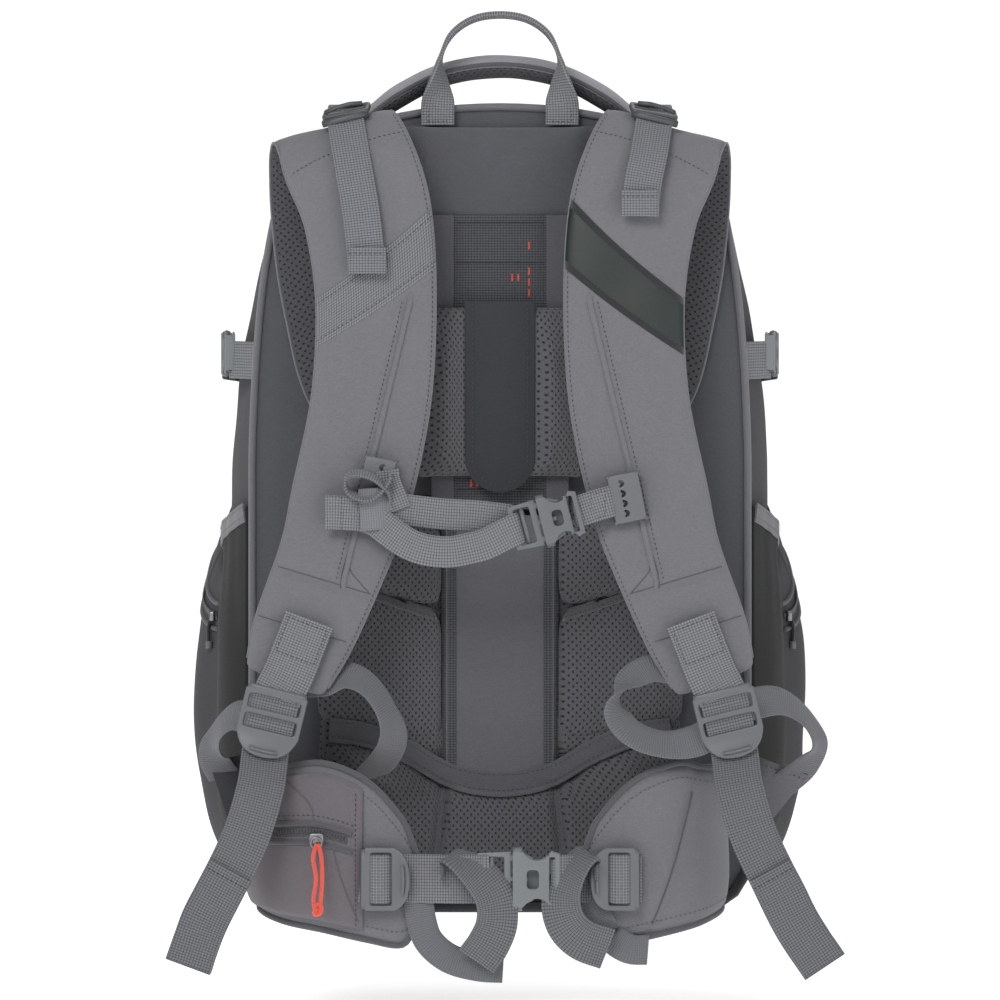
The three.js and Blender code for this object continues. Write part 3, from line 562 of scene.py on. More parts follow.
MATERIAL = {
    "shell": fabric("shell_fabric", "68686d"),
    # painted shade: the wall fabric is the shell fabric darkened for the shade the walls and the front pocket
    # lie in
    "wall": fabric("wall_fabric", "3c3c40", source="Object", sheen=0.08),
    "panel": fabric("panel_fabric", "494a4f", source="Object", weave=0.06),
    "cover": fabric("spine_fabric", "56565b", source="Object", weave=0.06),
    "binding": fabric("binding_tape", "4d4d52", pitch=1.6 * MM, weave=0.16),
    "hem": fabric("hem_tape", "646469", pitch=1.6 * MM, weave=0.16),
    "stretch": fabric("stretch_fabric", "141517", source="Object", pitch=1.3 * MM, sheen=0.08),
    "tongue": fabric("tongue_fabric", "34353a", source="Object", pitch=0.9 * MM, sheen=0.1, weave=0.05),
    "pocket": fabric("pocket_fabric", "625d62"),
    "webbing": ribbed_webbing("webbing", "6c6d71"),
    "dark_webbing": ribbed_webbing("dark_webbing", "434448", contrast=0.8),
    "pale_webbing": ribbed_webbing("pale_webbing", "68696e", contrast=0.6),
    "tail_webbing": ribbed_webbing("tail_webbing", "5f6064"),
    "handle": fabric("handle_fabric", "8a8a90"),
    "fine_webbing": fine_webbing("fine_webbing", "6c6d72"),
    "loop_webbing": fine_webbing("loop_webbing", "5f6065"),
    "mesh": air_mesh("air_mesh", "57575b"),
    # painted shade: a slightly darker copy of the air mesh for the lower and lumbar pads, which lie in more
    # shade
    "low_mesh": air_mesh("low_air_mesh", "525256"),
    "strap_mesh": air_mesh("strap_air_mesh", "47474b", source="UV"),
    "plastic": moulded("moulded_plastic", "5e6063"),
    "pale_plastic": moulded("pale_moulded_plastic", "6c6f72"),
    "dark_plastic": moulded("dark_moulded_plastic", "45474a"),
    "boot": rubberised("base_coating", "2d2d2e"),
    "alloy": metal("aluminium", "b4b6ba"),
    "zip_metal": metal("zip_metal", "8c8c8e", rough=0.35),
    "sheet": moulded("black_sheet", "1d1d1f", rough=0.6),
    "orange": braided("orange_cord", "ff4f36"),
    "thread": fabric("thread", "35353a", sheen=0.0),
    "pale_thread": fabric("pale_thread", "4e4e53", sheen=0.0),
    "mark": fabric("printed_mark", "e2482f", sheen=0.0),
    "reflective": reflective("reflective_tape", "19211f"),
    "black_tape": fabric("black_tape", "232427"),
    "zip_tape": fabric("zip_tape", "4a4a4e", pitch=0.8 * MM),
}


# ---------------------------------------------------------------- cloth

def padded(name, node, body, material, reshape=None, inset=(1.5, 1.5, 1.5)):
    """A foam pad: the CAD pad's own shape, remeshed and blown up a little as cloth.

    reshape moves its points before that, and inset draws in its sides by so many millimetres."""
    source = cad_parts[node]
    mesh = source.data.copy()
    mesh.materials.clear()
    obj = bpy.data.objects.new(name, mesh)
    bpy.context.scene.collection.objects.link(obj)
    remesh = obj.modifiers.new("remesh", "REMESH")
    remesh.mode = "VOXEL"
    remesh.voxel_size = 5 * MM
    apply_modifiers(obj)
    soften(obj, 2)
    shrink_to_centre(obj, Vector(inset) * MM)
    if reshape:
        for v in obj.data.vertices:
            v.co = reshape(v.co)
    simulate(obj, pressure=4.0, cap=7 * MM, settle=20)
    obj.data.materials.append(material)
    subdivide(obj, 1)
    obj.data.shade_smooth()
    finish_piece(obj, body, [node])
    return obj


def apply_modifiers(obj):
    graph = bpy.context.evaluated_depsgraph_get()
    graph.update()
    mesh = bpy.data.meshes.new_from_object(obj.evaluated_get(graph))
    obj.modifiers.clear()
    obj.data = mesh


def subdivide(obj, levels):
    modifier = obj.modifiers.new("subdivide", "SUBSURF")
    modifier.levels = modifier.render_levels = levels
    apply_modifiers(obj)


def soften(obj, times):
    bm = bmesh.new()
    bm.from_mesh(obj.data)
    for _ in range(times):
        bmesh.ops.smooth_vert(bm, verts=bm.verts, factor=0.5, use_axis_x=True, use_axis_y=True,
                              use_axis_z=True)
    bm.to_mesh(obj.data)
    bm.free()


def shrink_to_centre(obj, inset):
    """Draws every side in by its inset (out, if negative), so that the cloth swells back to size."""
    points = [v.co.copy() for v in obj.data.vertices]
    low = Vector([min(p[k] for p in points) for k in range(3)])
    high = Vector([max(p[k] for p in points) for k in range(3)])
    middle, half = (low + high) / 2, (high - low) / 2
    for v in obj.data.vertices:
        v.co = middle + Vector([(v.co[k] - middle[k]) * (1 - inset[k] / half[k]) for k in range(3)])


def simulate(obj, pressure, cap, settle):
    """Runs the cloth with pressure inside and no gravity.

    Each point then stays within the cap of where it began in Y, and within a sixth of it in X and Z."""
    rest = [v.co.copy() for v in obj.data.vertices]
    modifier = obj.modifiers.new("cloth", "CLOTH")
    settings = modifier.settings
    settings.quality = 6
    settings.mass = 0.2
    settings.tension_stiffness = settings.compression_stiffness = 12
    settings.shear_stiffness = 8
    settings.bending_stiffness = 0.8
    settings.use_pressure = True
    settings.uniform_pressure_force = pressure
    settings.effector_weights.gravity = 0
    settings.air_damping = 2
    modifier.point_cache.frame_start, modifier.point_cache.frame_end = 1, settle
    scene = bpy.context.scene
    for number in range(1, settle + 1):
        scene.frame_set(number)
    graph = bpy.context.evaluated_depsgraph_get()
    moved = [v.co.copy() for v in obj.evaluated_get(graph).data.vertices]
    obj.modifiers.clear()
    for v, start, end in zip(obj.data.vertices, rest, moved):
        step = end - start
        limits = (cap / 6, cap, cap / 6)
        v.co = start + Vector([max(-limit, min(limit, s)) for s, limit in zip(step, limits)])
    scene.frame_set(1)


def press_channel(obj, depth, width, distance):
    """Sinks a stitched channel into a pad's outer half. distance(p) is how far p lies from the seam."""
    middle = sum((v.co.y for v in obj.data.vertices)) / len(obj.data.vertices)
    for v in obj.data.vertices:
        if v.co.y <= middle:
            v.co.y += depth * bump(distance(v.co), width)


class Skin:
    """Finds points on the wearer's side of finished pieces, for stitching and trims that lie on them."""

    def __init__(self, *objs):
        verts, faces = [], []
        for obj in objs:
            first = len(verts)
            verts += [v.co.copy() for v in obj.data.vertices]
            faces += [[first + i for i in p.vertices] for p in obj.data.polygons]
        self.tree = BVHTree.FromPolygons(verts, faces)

    def at(self, x, z):
        """The nearest point to the wearer at this x and z, with its normal."""
        hit, normal, *_ = self.tree.ray_cast(Vector((x, -1, z)), Y)
        return (Vector((x, BACK_Y, z)), -Y) if hit is None else (hit, normal)

    def line(self, points, lift=0.0):
        """Points dropped on to the skin along a path given in x and z."""
        step = 1.5 * MM
        found = []
        for (x0, z0), (x1, z1) in zip(points, points[1:]):
            count = max(1, round(math.hypot(x1 - x0, z1 - z0) / step))
            found += [self.at(lerp(x0, x1, k / count), lerp(z0, z1, k / count)) for k in range(count)]
        found.append(self.at(*points[-1]))
        return [(p + normal * lift, normal) for p, normal in found]


def band_on(name, skin, points, width, body, material, thick=1.0 * MM, lift=0.2 * MM,
            replaces=()):
    """A flat strip that follows a skin under a path in x and z, such as a binding or a sewn band."""
    across = 5
    path = curve_points([Vector((x, 0, z)) for x, z in points], 2.5 * MM)
    rings = []
    run = 0.0
    runs = []
    for i, p in enumerate(path):
        ahead = (path[min(i + 1, len(path) - 1)] - path[max(i - 1, 0)]).normalized()
        side = Vector((ahead.z, 0, -ahead.x))
        top, bottom = [], []
        for k in range(across):
            a = (k / (across - 1) - 0.5) * width
            at = p + side * a
            hit, normal = skin.at(at.x, at.z)
            edge = 1 - abs(2 * k / (across - 1) - 1) ** 4
            top.append(hit + normal * (lift + thick * (0.35 + 0.65 * edge)))
            bottom.append(hit - normal * 0.8 * MM)
        rings.append(top + bottom[::-1])
        run += (p - path[i - 1]).length if i else 0.0
        runs.append(run)
    total = across * 2

    def uv_of(i, j):
        k = j % total
        k = k if k < across else total - 1 - k
        return (runs[i], k / (across - 1) * width)

    verts, faces, uvs = loft(rings, uv_of=uv_of)
    obj = mesh_object(name, verts, faces, uvs, [material], sharp=60)
    return finish_piece(obj, body, replaces)


# ---------------------------------------------------------------- the bag

CORNER, STRAIGHT_TOP = 32 * MM, 300 * MM
SHOULDER = Vector((143 * MM, 0, 475 * MM))
BULGE = 20 * MM
PIPING = 2.4 * MM


def at(x, out, z):
    """A point in millimetres: right of the middle, in front of the back panel, above the base."""
    return Vector((x * MM, BACK_Y - out * MM, z * MM))


def bezier(a, b, c, d, t):
    s = 1 - t
    return a * s ** 3 + b * 3 * s * s * t + c * 3 * s * t * t + d * t ** 3


def right_outline():
    """The right half of the bag's outline from the middle of its base to the middle of its top."""
    w, base, top = HALF_WIDTH, PANEL.low.z, PANEL.high.z
    points = [Vector((w * k / 8 * (1 - CORNER / w), 0, base)) for k in range(8)]
    for k in range(9):
        a = -math.pi / 2 + math.pi / 2 * k / 8
        points.append(Vector((w - CORNER + CORNER * math.cos(a), 0, base + CORNER + CORNER * math.sin(a))))
    points += [Vector((w, 0, lerp(base + CORNER, STRAIGHT_TOP, k / 12))) for k in range(1, 12)]
    side = [Vector((w, 0, STRAIGHT_TOP)), Vector((w - 2 * MM, 0, 0.39)), Vector((w - 9 * MM, 0, 0.44)),
            SHOULDER]
    points += [bezier(*side, k / 10) for k in range(10)]
    arch = [SHOULDER, SHOULDER + Vector((-15 * MM, 0, 40 * MM)), Vector((62 * MM, 0, top)),
            Vector((0, 0, top))]
    points += [bezier(*arch, k / 14) for k in range(15)]
    return curve_points(points, arc_length(points) / 60)


def arc_length(points):
    return sum((b - a).length for a, b in zip(points, points[1:]))


RIGHT = right_outline()
OUTLINE = RIGHT + mirrored(RIGHT[1:-1], -1)[::-1]


def outward(points, i):
    """The direction away from the bag at point i of an anticlockwise closed outline."""
    run = (points[(i + 1) % len(points)] - points[i - 1]).normalized()
    return Vector((run.z, 0, -run.x))


def bulge_at(z):
    return BULGE * smooth(z, PANEL.low.z, 0.07) * (1 - 0.65 * smooth(z, STRAIGHT_TOP, SHOULDER.z))


def wall_point(i, v, offset=0.0):
    """A point on the swollen wall beside outline point i, at share v from the back seam to the front seam."""
    p, out = OUTLINE[i % len(OUTLINE)], outward(OUTLINE, i % len(OUTLINE))
    swell = bulge_at(p.z) * math.sin(math.pi * v) + offset
    return Vector((p.x, lerp(BACK_Y + 1.5 * MM, FRONT_Y - 1.5 * MM, v), p.z)) + out * swell


def wall_cloth(i, v, offset=0.0):
    """The wall with its packed-out unevenness and the puckers along its seams."""
    p, out = wall_point(i, v, offset), outward(OUTLINE, i % len(OUTLINE))
    free = math.sin(math.pi * v) ** 0.6 * (1 - 0.9 * bump(v - MAIN_ZIP_V, 0.2))
    folds = wander(p, 0.09, 3.2 * MM) + wander(p, 0.035, 1.4 * MM, 7)
    folds += wander(Vector((p.x, p.y * 3, p.z)), 0.02, 0.5 * MM, 3)
    seam = bump(min(v, 1 - v), 0.12) * math.sin(i * 2.1) * 0.4 * MM
    return p + out * (folds * free + seam)


def walls():
    rows = 26
    rings = [[wall_cloth(i, v / rows) for v in range(rows + 1)] for i in range(len(OUTLINE))]
    rings.append(rings[0])
    verts, faces, uvs = loft(rings, closed=False)
    # the walls take the wall fabric, whose darker tone is painted shade
    obj = mesh_object("bag_walls", verts, faces, uvs, [MATERIAL["wall"]])
    weld(obj)
    subdivide(obj, 1)
    finish_piece(obj, "bag", ["side_gusset_left", "side_gusset_right", "top_gusset"])


def filled(name, y, outward_sign, height, material, node):
    """A panel that fills the outline. height(x, z, r) is how far it stands out, r being 1 at its edge."""
    rings = 26
    centre = Vector((0, 0, 0.26))
    verts = [Vector((0, y + outward_sign * height(0, centre.z, 0), centre.z))]
    for k in range(1, rings + 1):
        r = k / rings
        for p in OUTLINE:
            q = centre.lerp(p, r)
            verts.append(Vector((q.x, y + outward_sign * height(q.x, q.z, r), q.z)))
    count = len(OUTLINE)
    faces = []
    for i in range(count):
        j = (i + 1) % count
        faces.append((0, 1 + i, 1 + j) if outward_sign < 0 else (0, 1 + j, 1 + i))
    for k in range(rings - 1):
        for i in range(count):
            j = (i + 1) % count
            a, b = 1 + k * count, 1 + (k + 1) * count
            face = (a + i, b + i, b + j, a + j)
            faces.append(face if outward_sign < 0 else face[::-1])
    obj = mesh_object(name, verts, faces, None, [material])
    return finish_piece(obj, "bag", [node])


def back_height(x, z, r):
    p = Vector((x, 0, z))
    edge = bump(1 - r, 0.08)
    uneven = wander(p, 0.06, 1.1 * MM) + wander(p, 0.022, 0.4 * MM, 5)
    return 1.3 * MM * (1 - edge) + uneven * (1 - edge) - 1.2 * MM * edge


def front_height(x, z, r):
    p = Vector((x, 0, z))
    crown = 17 * MM * (1 - r ** 3.0)
    return crown + (wander(p, 0.10, 3.0 * MM, 2) + wander(p, 0.035, 1.0 * MM, 9)) * (1 - r ** 6)


def piping():
    for name, y in (("back_piping", BACK_Y + 0.8 * MM), ("front_piping", FRONT_Y - 0.8 * MM)):
        points = [Vector((p.x, y, p.z)) + outward(OUTLINE, i) * 1.6 * MM for i, p in enumerate(OUTLINE)]
        cord(name, points, PIPING, "bag", MATERIAL["hem"], sides=10, closed=True, up=Y)


def zip_coil(name, points, body, normals):
    """A closed coil zip along points: two rows of small teeth."""
    verts, faces = [], []
    pitch = 1.9 * MM
    left = 0.0
    for k, (a, b) in enumerate(zip(points, points[1:])):
        span = (b - a).length
        if span < 1e-9:
            continue
        along = (b - a) / span
        out = normals[k]
        side = along.cross(out).normalized()
        pos = left
        while pos < span:
            for sign in (-1, 1):
                centre = a + along * (pos + (0.5 * pitch if sign > 0 else 0)) + side * sign * 1.1 * MM
                add_tooth(verts, faces, centre, along * 0.62 * MM, side * 1.5 * MM, out * 0.9 * MM)
            pos += pitch
        left = pos - span
    obj = mesh_object(name, verts, faces, None, [MATERIAL["zip_tape"]])
    finish_piece(obj, body)


def add_tooth(verts, faces, centre, a, b, c):
    first = len(verts)
    for sa, sb in ((-1, -1), (1, -1), (1, 1), (-1, 1)):
        verts.append(centre + a * sa + b * sb)
    for sa, sb in ((-0.6, -0.7), (0.6, -0.7), (0.6, 0.7), (-0.6, 0.7)):
        verts.append(centre + a * sa + b * sb + c)
    for k in range(4):
        m = (k + 1) % 4
        faces.append((first + k, first + m, first + 4 + m, first + 4 + k))
    faces.append((first + 4, first + 5, first + 6, first + 7))


MAIN_ZIP_V = (Box("main_zip_slider_right").centre.y - BACK_Y) / DEPTH
MAIN_ZIP_LOW = 0.118


def main_zip():
    """The zip that opens the bag round its top, under a narrow flap."""
    run = [i for i, p in enumerate(OUTLINE) if p.z > MAIN_ZIP_LOW]
    coil = [wall_cloth(i, MAIN_ZIP_V, 1.2 * MM) for i in run]
    zip_coil("main_zip", coil, "bag", normals=[outward(OUTLINE, i) for i in run])
    half = 0.055
    for name, middle in (("main_zip_tape_front", MAIN_ZIP_V + 0.066),
                         ("main_zip_tape_back", MAIN_ZIP_V - 0.066)):
        rings = []
        for i in run:
            top = [wall_cloth(i, middle + half * k / 3, 1.3 * MM - 0.5 * MM * (k / 3) ** 4)
                   for k in range(-3, 4)]
            low = [wall_cloth(i, middle + half * k / 3, -0.8 * MM) for k in range(3, -4, -1)]
            rings.append(top + low)
        runs = [0.0]
        for a, b in zip(rings, rings[1:]):
            runs.append(runs[-1] + (b[3] - a[3]).length)
        verts, faces, uvs = loft(rings, uv_of=lambda i, j: (runs[i], (j % 14) * 2.6 * MM))
        obj = mesh_object(name, verts, faces, uvs, [MATERIAL["binding"]], sharp=60)
        finish_piece(obj, "bag")
    ends = Box("main_zip_slider_right")
    for name, side in SIDES:
        centre = Vector((side * ends.centre.x, ends.centre.y, ends.low.z))
        puller(f"main_zip_puller_{name}", centre, Vector((side, 0, 0)), f"main_zip_{name}", 26 * MM)


def puller(name, top, out, body, length=24 * MM):
    """A knotted cord puller that hangs from a slider."""
    out = out.normalized()
    side = out.cross(Z).normalized()
    for k, sign in enumerate((-1, 1)):
        path = [top + out * 1.5 * MM + side * sign * 0.8 * MM,
                top - Z * length * 0.35 + out * 3 * MM + side * sign * 1.7 * MM,
                top - Z * length * 0.75 + out * 3 * MM + side * sign * 1.3 * MM,
                top - Z * length + out * 2.6 * MM + side * sign * 0.9 * MM]
        cord(f"{name}_{k}", curve_points(path, 1.5 * MM), 1.0 * MM, body, MATERIAL["black_tape"])
    knot = [top - Z * length * f + out * 2.7 * MM for f in (0.78, 0.85, 0.94, 1.02)]
    cord(f"{name}_end", knot, 2.3 * MM, body, MATERIAL["plastic"], sides=10)


def base_boot():
    """The coated base, turned up round the bottom corners and bound along its back and front edges."""
    reach = [i for i in range(-len(OUTLINE) // 2, len(OUTLINE) // 2) if OUTLINE[i % len(OUTLINE)].z < 0.034]
    rows = 16
    low, high = 0.02, 0.98
    outer, inner = [], []
    for i in reach:
        outer.append([wall_point(i, lerp(low, high, v / rows), 3.6 * MM) for v in range(rows + 1)])
        inner.append([wall_point(i, lerp(low, high, v / rows), 0.6 * MM) for v in range(rows, -1, -1)])
    rings = [a + b for a, b in zip(outer, inner)]
    for ring in rings:
        for p in ring:
            p.z = max(p.z, 0.0)
    verts, faces, uvs = loft(rings)
    obj = mesh_object("base_boot_cover", verts, faces, uvs, [MATERIAL["boot"]], sharp=50)
    finish_piece(obj, "bag", ["base_boot"])
    for name, y in (("back", BACK_Y - 1.2 * MM), ("front", FRONT_Y + 1.2 * MM)):
        line = []
        for i in reach:
            p = wall_point(i, 0, 1.8 * MM)
            line.append(Vector((p.x, y, max(p.z, 3.2 * MM))))
        cord(f"base_binding_{name}", line, 3.2 * MM, "bag", MATERIAL["black_tape"], sides=12, up=Y)


# ---------------------------------------------------------------- pockets

POCKET = Box("front_pocket")


def pocket_point(u, v, lift=0.0):
    """The front pocket: u runs from the left wing to the right one, v from its base to its top edge."""
    edge = abs(2 * u - 1)
    side = 1 if u > 0.5 else -1
    plan = [Vector((0, 124, 0)), Vector((105, 119, 0)), Vector((191, 97, 0)), Vector((213, 58, 0)),
            Vector((192, 22, 0))]
    seam = [Vector((0, 81, 0)), Vector((95, 81, 0)), Vector((170, 80, 0)), Vector((181, 52, 0)),
            Vector((184, 22, 0))]
    top = lerp(POCKET.high.z, POCKET.high.z - 84 * MM, smooth(edge, 0.25, 0.95))
    z = lerp(POCKET.low.z, top, v)
    swell = math.sin(math.pi * lerp(0.03, 0.97, v)) ** 0.45
    p = catmull(seam, edge).lerp(catmull(plan, edge), swell) * MM
    q = Vector((p.x * side, p.y, z))
    fold = wander(q, 0.08, 4 * MM, 4) + wander(q, 0.03, 1.3 * MM, 8)
    out = Vector((side * smooth(edge, 0.5, 0.85), 1 - 0.7 * smooth(edge, 0.5, 0.85), 0)).normalized()
    return q + out * (fold * swell * math.sin(math.pi * v) ** 0.4 + lift)


def front_pocket():
    columns, rows = 72, 34
    rings = [[pocket_point(i / columns, j / rows) for j in range(rows + 1)] for i in range(columns + 1)]
    back = [[p + (Vector((0, -1, 0)) if 8 < i < columns - 8
                  else Vector((-math.copysign(1, p.x), 0, 0))) * 2.2 * MM
             for p in ring[::-1]] for i, ring in enumerate(rings)]
    skin = [a + b for a, b in zip(rings, back)]
    verts, faces, uvs = loft(skin)
    # the pocket takes the wall fabric, whose darker tone is painted shade
    obj = mesh_object("front_pocket_shell", verts, faces, uvs, [MATERIAL["wall"]], sharp=70)
    finish_piece(obj, "bag", ["front_pocket"])
    line = [pocket_point(lerp(0.03, 0.97, i / 90), 0.84, 1.0 * MM) for i in range(91)]
    normals = [Vector((p.x * 2, 0.06, 0)).normalized() if abs(p.x) > 0.15 else Y for p in line]
    zip_coil("front_pocket_zip", line, "bag", normals=normals)
    for name, v in (("top", 0.885), ("low", 0.795)):
        edge = [pocket_point(lerp(0.02, 0.98, i / 90), v, 0.4 * MM) for i in range(91)]
        cord(f"front_pocket_binding_{name}", edge, 1.7 * MM, "bag", MATERIAL["binding"], up=Z)
    for side_name, u in (("left", 0.04), ("right", 0.96)):
        p = pocket_point(u, 0.84, 2.4 * MM)
        out = Vector((math.copysign(1, p.x), 0.1, 0))
        moulding(f"front_pocket_slider_{side_name}", [rounded(-5, -3.5, 5, 3.5, 1.6)], 3.4 * MM, 0.8 * MM,
                 facing(p, out), "bag", MATERIAL["zip_metal"])
        puller(f"front_pocket_puller_{side_name}", p, out, "bag", 22 * MM)


def side_pockets():
    """Stretch pockets with a gathered body and a folded elastic edge."""
    for name, side in SIDES:
        box = Box(f"side_pocket_{name}")
        columns, rows = 36, 26

        def point(u, v, lift=0.0):
            y = lerp(box.low.y, box.high.y, u)
            z = lerp(box.low.z, box.high.z - 24 * MM * u, v)
            depth = max(0.0, min(1.0, (y - BACK_Y) / DEPTH))
            wall = HALF_WIDTH + bulge_at(z) * math.sin(math.pi * depth)
            swell = 9 * MM * math.sin(math.pi * u) * (0.35 + 0.65 * math.sin(math.pi * min(v + 0.1, 1)))
            gather = math.sin(u * 30 + 1.5 * math.sin(v * 5)) * 0.35 * MM * smooth(v, 0.5, 1.0)
            gather *= math.sin(math.pi * u)
            loose = wander(Vector((0, y, z)), 0.04, 2.0 * MM, 5 + side) * math.sin(math.pi * u)
            return Vector((side * (wall + 3.2 * MM + swell + gather + loose + lift), y, z))

        rings = [[point(i / columns, j / rows) for j in range(rows + 1)]
                 + [point(i / columns, j / rows, -1.4 * MM) for j in range(rows, -1, -1)]
                 for i in range(columns + 1)]
        verts, faces, uvs = loft(rings)
        obj = mesh_object(f"side_pocket_cloth_{name}", verts, faces, uvs, [MATERIAL["stretch"]], sharp=70)
        finish_piece(obj, "bag", [f"side_pocket_{name}"])
        hem = [point(i / columns, 0.985, 0.6 * MM) for i in range(1, columns)]
        webbing(f"side_pocket_hem_{name}", hem, Z, 13 * MM, "bag", 1.6 * MM, 2 * MM,
                MATERIAL["hem"])
        rows_of = [[(point(i / columns, v, 1.9 * MM), Vector((side, 0, 0))) for i in range(columns + 1)]
                   for v in (0.97, 1.0)]
        stitches(f"side_pocket_stitching_{name}", rows_of, "bag", MATERIAL["pale_thread"])


# ---------------------------------------------------------------- moulded pieces

def rounded(x0, z0, x1, z1, r):
    """A rounded rectangle in millimetres, as a list of (x, z)."""
    points, steps = [], 5
    for cx, cz, start in ((x1 - r, z0 + r, -90), (x1 - r, z1 - r, 0), (x0 + r, z1 - r, 90),
                          (x0 + r, z0 + r, 180)):
        for k in range(steps + 1):
            a = math.radians(start + 90 * k / steps)
            points.append((cx + r * math.cos(a), cz + r * math.sin(a)))
    return points


def facing(origin, out, up=Z):
    """A matrix that stands a plate at origin with its face towards out and its height along up."""
    out = out.normalized()
    across = up.cross(-out).normalized() * -1
    high = out.cross(across).normalized()
    if high.dot(up) < 0:
        high, across = -high, -across
    basis = Matrix((across, high, across.cross(high))).transposed().to_4x4()
    basis.translation = origin
    return basis


def moulding(name, outlines, thick, bevel, matrix, body, material, replaces=(),
             bend=None):
    """A plate with softened edges: outlines are an outer line and its holes in millimetres."""
    curve = bpy.data.curves.new(name, "CURVE")
    curve.dimensions = "2D"
    curve.fill_mode = "BOTH"
    curve.extrude = thick / 2 - bevel
    curve.bevel_depth = bevel
    curve.bevel_resolution = 2
    curve.offset = -bevel
    for outline in outlines:
        spline = curve.splines.new("POLY")
        spline.points.add(len(outline) - 1)
        for point, (x, z) in zip(spline.points, outline):
            point.co = (x * MM, z * MM, 0, 1)
        spline.use_cyclic_u = True
    temporary = bpy.data.objects.new(name + "_curve", curve)
    bpy.context.scene.collection.objects.link(temporary)
    graph = bpy.context.evaluated_depsgraph_get()
    mesh = bpy.data.meshes.new_from_object(temporary.evaluated_get(graph))
    bpy.data.objects.remove(temporary)
    bpy.data.curves.remove(curve)
    mesh.name = name
    obj = bpy.data.objects.new(name, mesh)
    bpy.context.scene.collection.objects.link(obj)
    weld(obj, 2e-6)
    if bend:
        for v in obj.data.vertices:
            v.co = bend(v.co)
    obj.data.transform(matrix)
    obj.data.materials.clear()
    obj.data.materials.append(material)
    obj.data.shade_smooth()
    obj.data.set_sharp_from_angle(angle=math.radians(40))
    return finish_piece(obj, body, replaces)


# ---------------------------------------------------------------- back padding

def seam_distance(x0, z0, x1, z1):
    """How far a point lies from the straight seam between two places given in millimetres."""
    a, b = Vector((x0 * MM, z0 * MM)), Vector((x1 * MM, z1 * MM))
    run = b - a

    def distance(p):
        q = Vector((p.x, p.z)) - a
        t = max(0.0, min(1.0, q.dot(run) / run.length_squared))
        return (q - run * t).length

    return distance


def back_pads():
    """Seven foam pads. Returns them by node name."""
    top = Box("top_pad")

    def widened(co):
        share = (co.z - top.low.z) / top.size.z
        drop = 14 * MM * (1 - smooth(share, 0, 0.6))
        return Vector((co.x * lerp(1.2, 1.45, share), co.y, co.z - drop))

    made = {"top_pad": padded("top_pad_cushion", "top_pad", "bag", MATERIAL["panel"], widened)}
    for node in ("middle_pad_left", "middle_pad_right", "lower_pad_left", "lower_pad_right"):
        made[node] = padded(node + "_cushion", node, "bag", MATERIAL["low_mesh"], inset=(-5, 0, -5))
    lumbar = Box("lumbar_pad")

    def raised(co):
        share = smooth(co.z, lumbar.centre.z - 20 * MM, lumbar.centre.z + 15 * MM)
        return co + Z * 12 * MM * share * (1 - smooth(abs(co.x), 60 * MM, 98 * MM))

    made["lumbar_pad"] = padded("lumbar_pad_cushion", "lumbar_pad", "bag", MATERIAL["low_mesh"], raised,
                                (0, 0, -3))
    for side in (-1, 1):
        press_channel(made["lumbar_pad"], 7 * MM, 6 * MM, seam_distance(side * 36, 96, side * 43, 20))
    for v in made["top_pad"].data.vertices:
        under_strap = smooth(abs(v.co.x), 48 * MM, 62 * MM)
        v.co.y = max(v.co.y, lerp(v.co.y, BACK_Y - 3.5 * MM, under_strap))
    made["upper_pad"] = padded("upper_pad_cushion", "upper_pad", "harness", MATERIAL["mesh"])
    hold_back(made["upper_pad"], Box("size_tongue"))
    rear = Box("upper_pad").high.y - 0.6 * MM
    for v in made["upper_pad"].data.vertices:
        v.co.y = min(v.co.y, rear)
    return made


def hold_back(obj, front):
    """Keeps the middle of a pad behind the piece that lies on it, so that it swells on both sides of it."""
    face, half = front.high.y + 0.3 * MM, front.high.x
    for v in obj.data.vertices:
        if v.co.y < face:
            v.co.y = lerp(face, v.co.y, smooth(abs(v.co.x), half, half + 12 * MM))


def mesh_base(name, side):
    """The mesh cloth that joins the pads of one side along their feet."""
    x0, x1, z0, z1 = 38 * MM, 119 * MM, 96 * MM, 276 * MM
    columns, rows = 20, 44
    rings = []
    for i in range(columns + 1):
        x = lerp(x0, x1, i / columns)
        ring = []
        for j in range(rows + 1):
            z = lerp(z0, z1, j / rows)
            rim = smooth(min(i, columns - i), 0, 2) * smooth(min(j, rows - j), 0, 2)
            rise = (3.4 * MM + wander(Vector((x, side, z)), 0.03, 1 * MM)) * rim
            ring.append(Vector((x * side, BACK_Y - 0.5 * MM - rise, z)))
        ring = [Vector((x * side, BACK_Y + 1 * MM, z0)), *ring, Vector((x * side, BACK_Y + 1 * MM, z1))]
        rings.append(ring if side > 0 else ring[::-1])
    verts, faces, uvs = loft(rings)
    return finish_piece(mesh_object(f"pad_base_{name}", verts, faces, uvs, [MATERIAL["low_mesh"]]), "bag")


